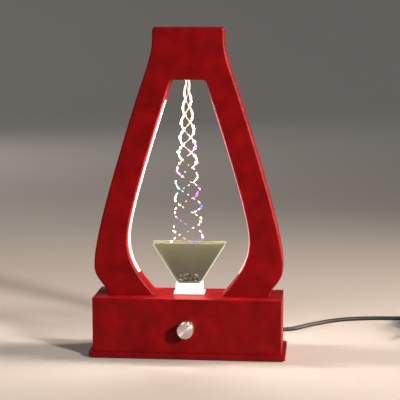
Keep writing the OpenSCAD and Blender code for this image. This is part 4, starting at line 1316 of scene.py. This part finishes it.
@dataclass
class Studio:
    """The camera of the photograph, a wide pale floor that bends up far away, and soft lights."""

    eye_m: Triple = (0.1335, -1.3, 0.331)
    look: Triple = (-0.092975, 0.986888, -0.131949)
    lens_mm: float = 117.81
    sensor_mm: float = 36.0
    clip_m: tuple[float, float] = (0.05, 50.0)
    paper: str = "#c8c3be"
    bounce: str = "#8f8b87"
    flat_rings_m: Triple = (0.0, 0.5, 2.0)
    floor_m: float = 4.0
    cove_m: float = 3.0
    cove_rings: int = 17
    sides: int = 96
    far_m: tuple[float, float] = (0.8, 3.0)
    far_glow: float = 0.15
    sky: str = "#e4e0dc"
    sky_strength: float = 0.1

    def camera(self) -> None:
        """Sets the camera level, along the photograph's line of sight."""
        data = bpy.data.cameras.new("camera")
        data.lens = self.lens_mm
        data.sensor_width = self.sensor_mm
        data.clip_start, data.clip_end = self.clip_m
        camera = bpy.data.objects.new("camera", data)
        camera.location = self.eye_m
        camera.rotation_mode = "QUATERNION"
        camera.rotation_quaternion = Vector(self.look).to_track_quat("-Z", "Y")
        bpy.context.scene.collection.objects.link(camera)
        bpy.context.scene.camera = camera

    def floor(self) -> None:
        """Lays a round sheet of paper: flat rings of radius r, then rings up a quarter circle."""
        bend = np.linspace(0, np.pi / 2, self.cove_rings)
        flat = np.array(self.flat_rings_m)
        r = np.concatenate([flat, self.floor_m + self.cove_m * np.sin(bend)])[:, None]
        z = np.concatenate([0 * flat, self.cove_m * (1 - np.cos(bend))])[:, None]
        a = round_angles(self.sides)[None]
        points = np.stack([r * np.cos(a), r * np.sin(a), z + 0 * a], -1)
        mesh = mesh_of("paper_floor", points, ring_faces(len(r), self.sides).tolist())
        mesh.materials.append(self.paper_finish())
        floor = bpy.data.objects.new("paper_floor", mesh)
        bpy.context.scene.collection.objects.link(floor)

    def paper_finish(self) -> bpy.types.Material:
        """Makes matt paper, pale where it is seen and dimmer where it only throws light back.

        Its far parts glow a little, so that the backdrop stays even where no light reaches. The glow
        rises smoothly with the distance from the lamp, and only rays that see the paper find it.

        Returns:
            The paper's material.
        """
        made = Finish("pale_paper", self.paper, self.paper, 0.9, patch_mm=40, grain_mm=2,
                      specular=0.0).material()
        tree = made.node_tree
        shader = next(n for n in tree.nodes if n.type == "BSDF_PRINCIPLED")
        output = next(n for n in tree.nodes if n.type == "OUTPUT_MATERIAL")
        place = add_node(tree, "ShaderNodeTexCoord").outputs["Object"]
        away = add_node(tree, "ShaderNodeVectorMath", {0: place}, operation="LENGTH").outputs["Value"]
        glow = add_node(tree, "ShaderNodeMapRange", {
            "Value": away, "From Min": self.far_m[0], "From Max": self.far_m[1], "To Max": self.far_glow},
            interpolation_type="SMOOTHSTEP").outputs["Result"]
        ray = add_node(tree, "ShaderNodeLightPath").outputs
        seen = ray["Is Camera Ray"]
        for other in ("Is Glossy Ray", "Is Transmission Ray"):
            seen = add_node(tree, "ShaderNodeMath", {0: seen, 1: ray[other]},
                            operation="MAXIMUM").outputs[0]
        # The colour sockets of a Mix node are its inputs 6 and 7 and its output 2
        tone = add_node(tree, "ShaderNodeMix", {0: seen, 6: linear(self.bounce), 7: linear(self.paper)},
                        data_type="RGBA").outputs[2]
        tree.links.new(tone, shader.inputs["Base Color"])
        strength = add_node(tree, "ShaderNodeMath", {0: glow, 1: seen}, operation="MULTIPLY").outputs[0]
        far = add_node(tree, "ShaderNodeEmission", {"Color": linear(self.paper), "Strength": strength})
        both = add_node(tree, "ShaderNodeAddShader", {
            0: shader.outputs["BSDF"], 1: far.outputs["Emission"]})
        tree.links.new(both.outputs["Shader"], output.inputs["Surface"])
        return made

    def lights(self) -> None:
        """Sets the lights of the room and of the strips, and an even, weak world."""
        for light in ROOM_LIGHTS + STRIP_LIGHTS:
            light.build()
        world = bpy.data.worlds.new("studio")
        world.use_nodes = True
        tree = world.node_tree
        tree.nodes.clear()
        sky = add_node(tree, "ShaderNodeBackground", {
            "Color": linear(self.sky), "Strength": self.sky_strength})
        add_node(tree, "ShaderNodeOutputWorld", {"Surface": sky.outputs["Background"]})
        bpy.context.scene.world = world
        bpy.context.scene.view_settings.view_transform = "Standard"

    def build(self) -> None:
        """Sets up the camera, floor and lights."""
        self.camera()
        self.floor()
        self.lights()


def finish_solids() -> None:
    """Gives every solid of the frame the finish of its slot in the record."""
    for row in frame["record"]["subparts"]:
        solid = frame["nodes"][row["node"]]
        solid.data.materials.clear()
        solid.data.materials.append(SLOT_FINISH[row["material_slot"]].material())


def main() -> None:
    """Builds the lamp's pieces in order."""
    logging.basicConfig(level=logging.INFO, format="%(name)s: %(message)s")
    Studio().build()
    Cord().build()
    finish_solids()
    for part in (Arch(), Base(), Funnel(), Fall(), Foam(), Knob(), Boot(), Screws()):
        part.build()


if __name__ == "__main__":
    main()
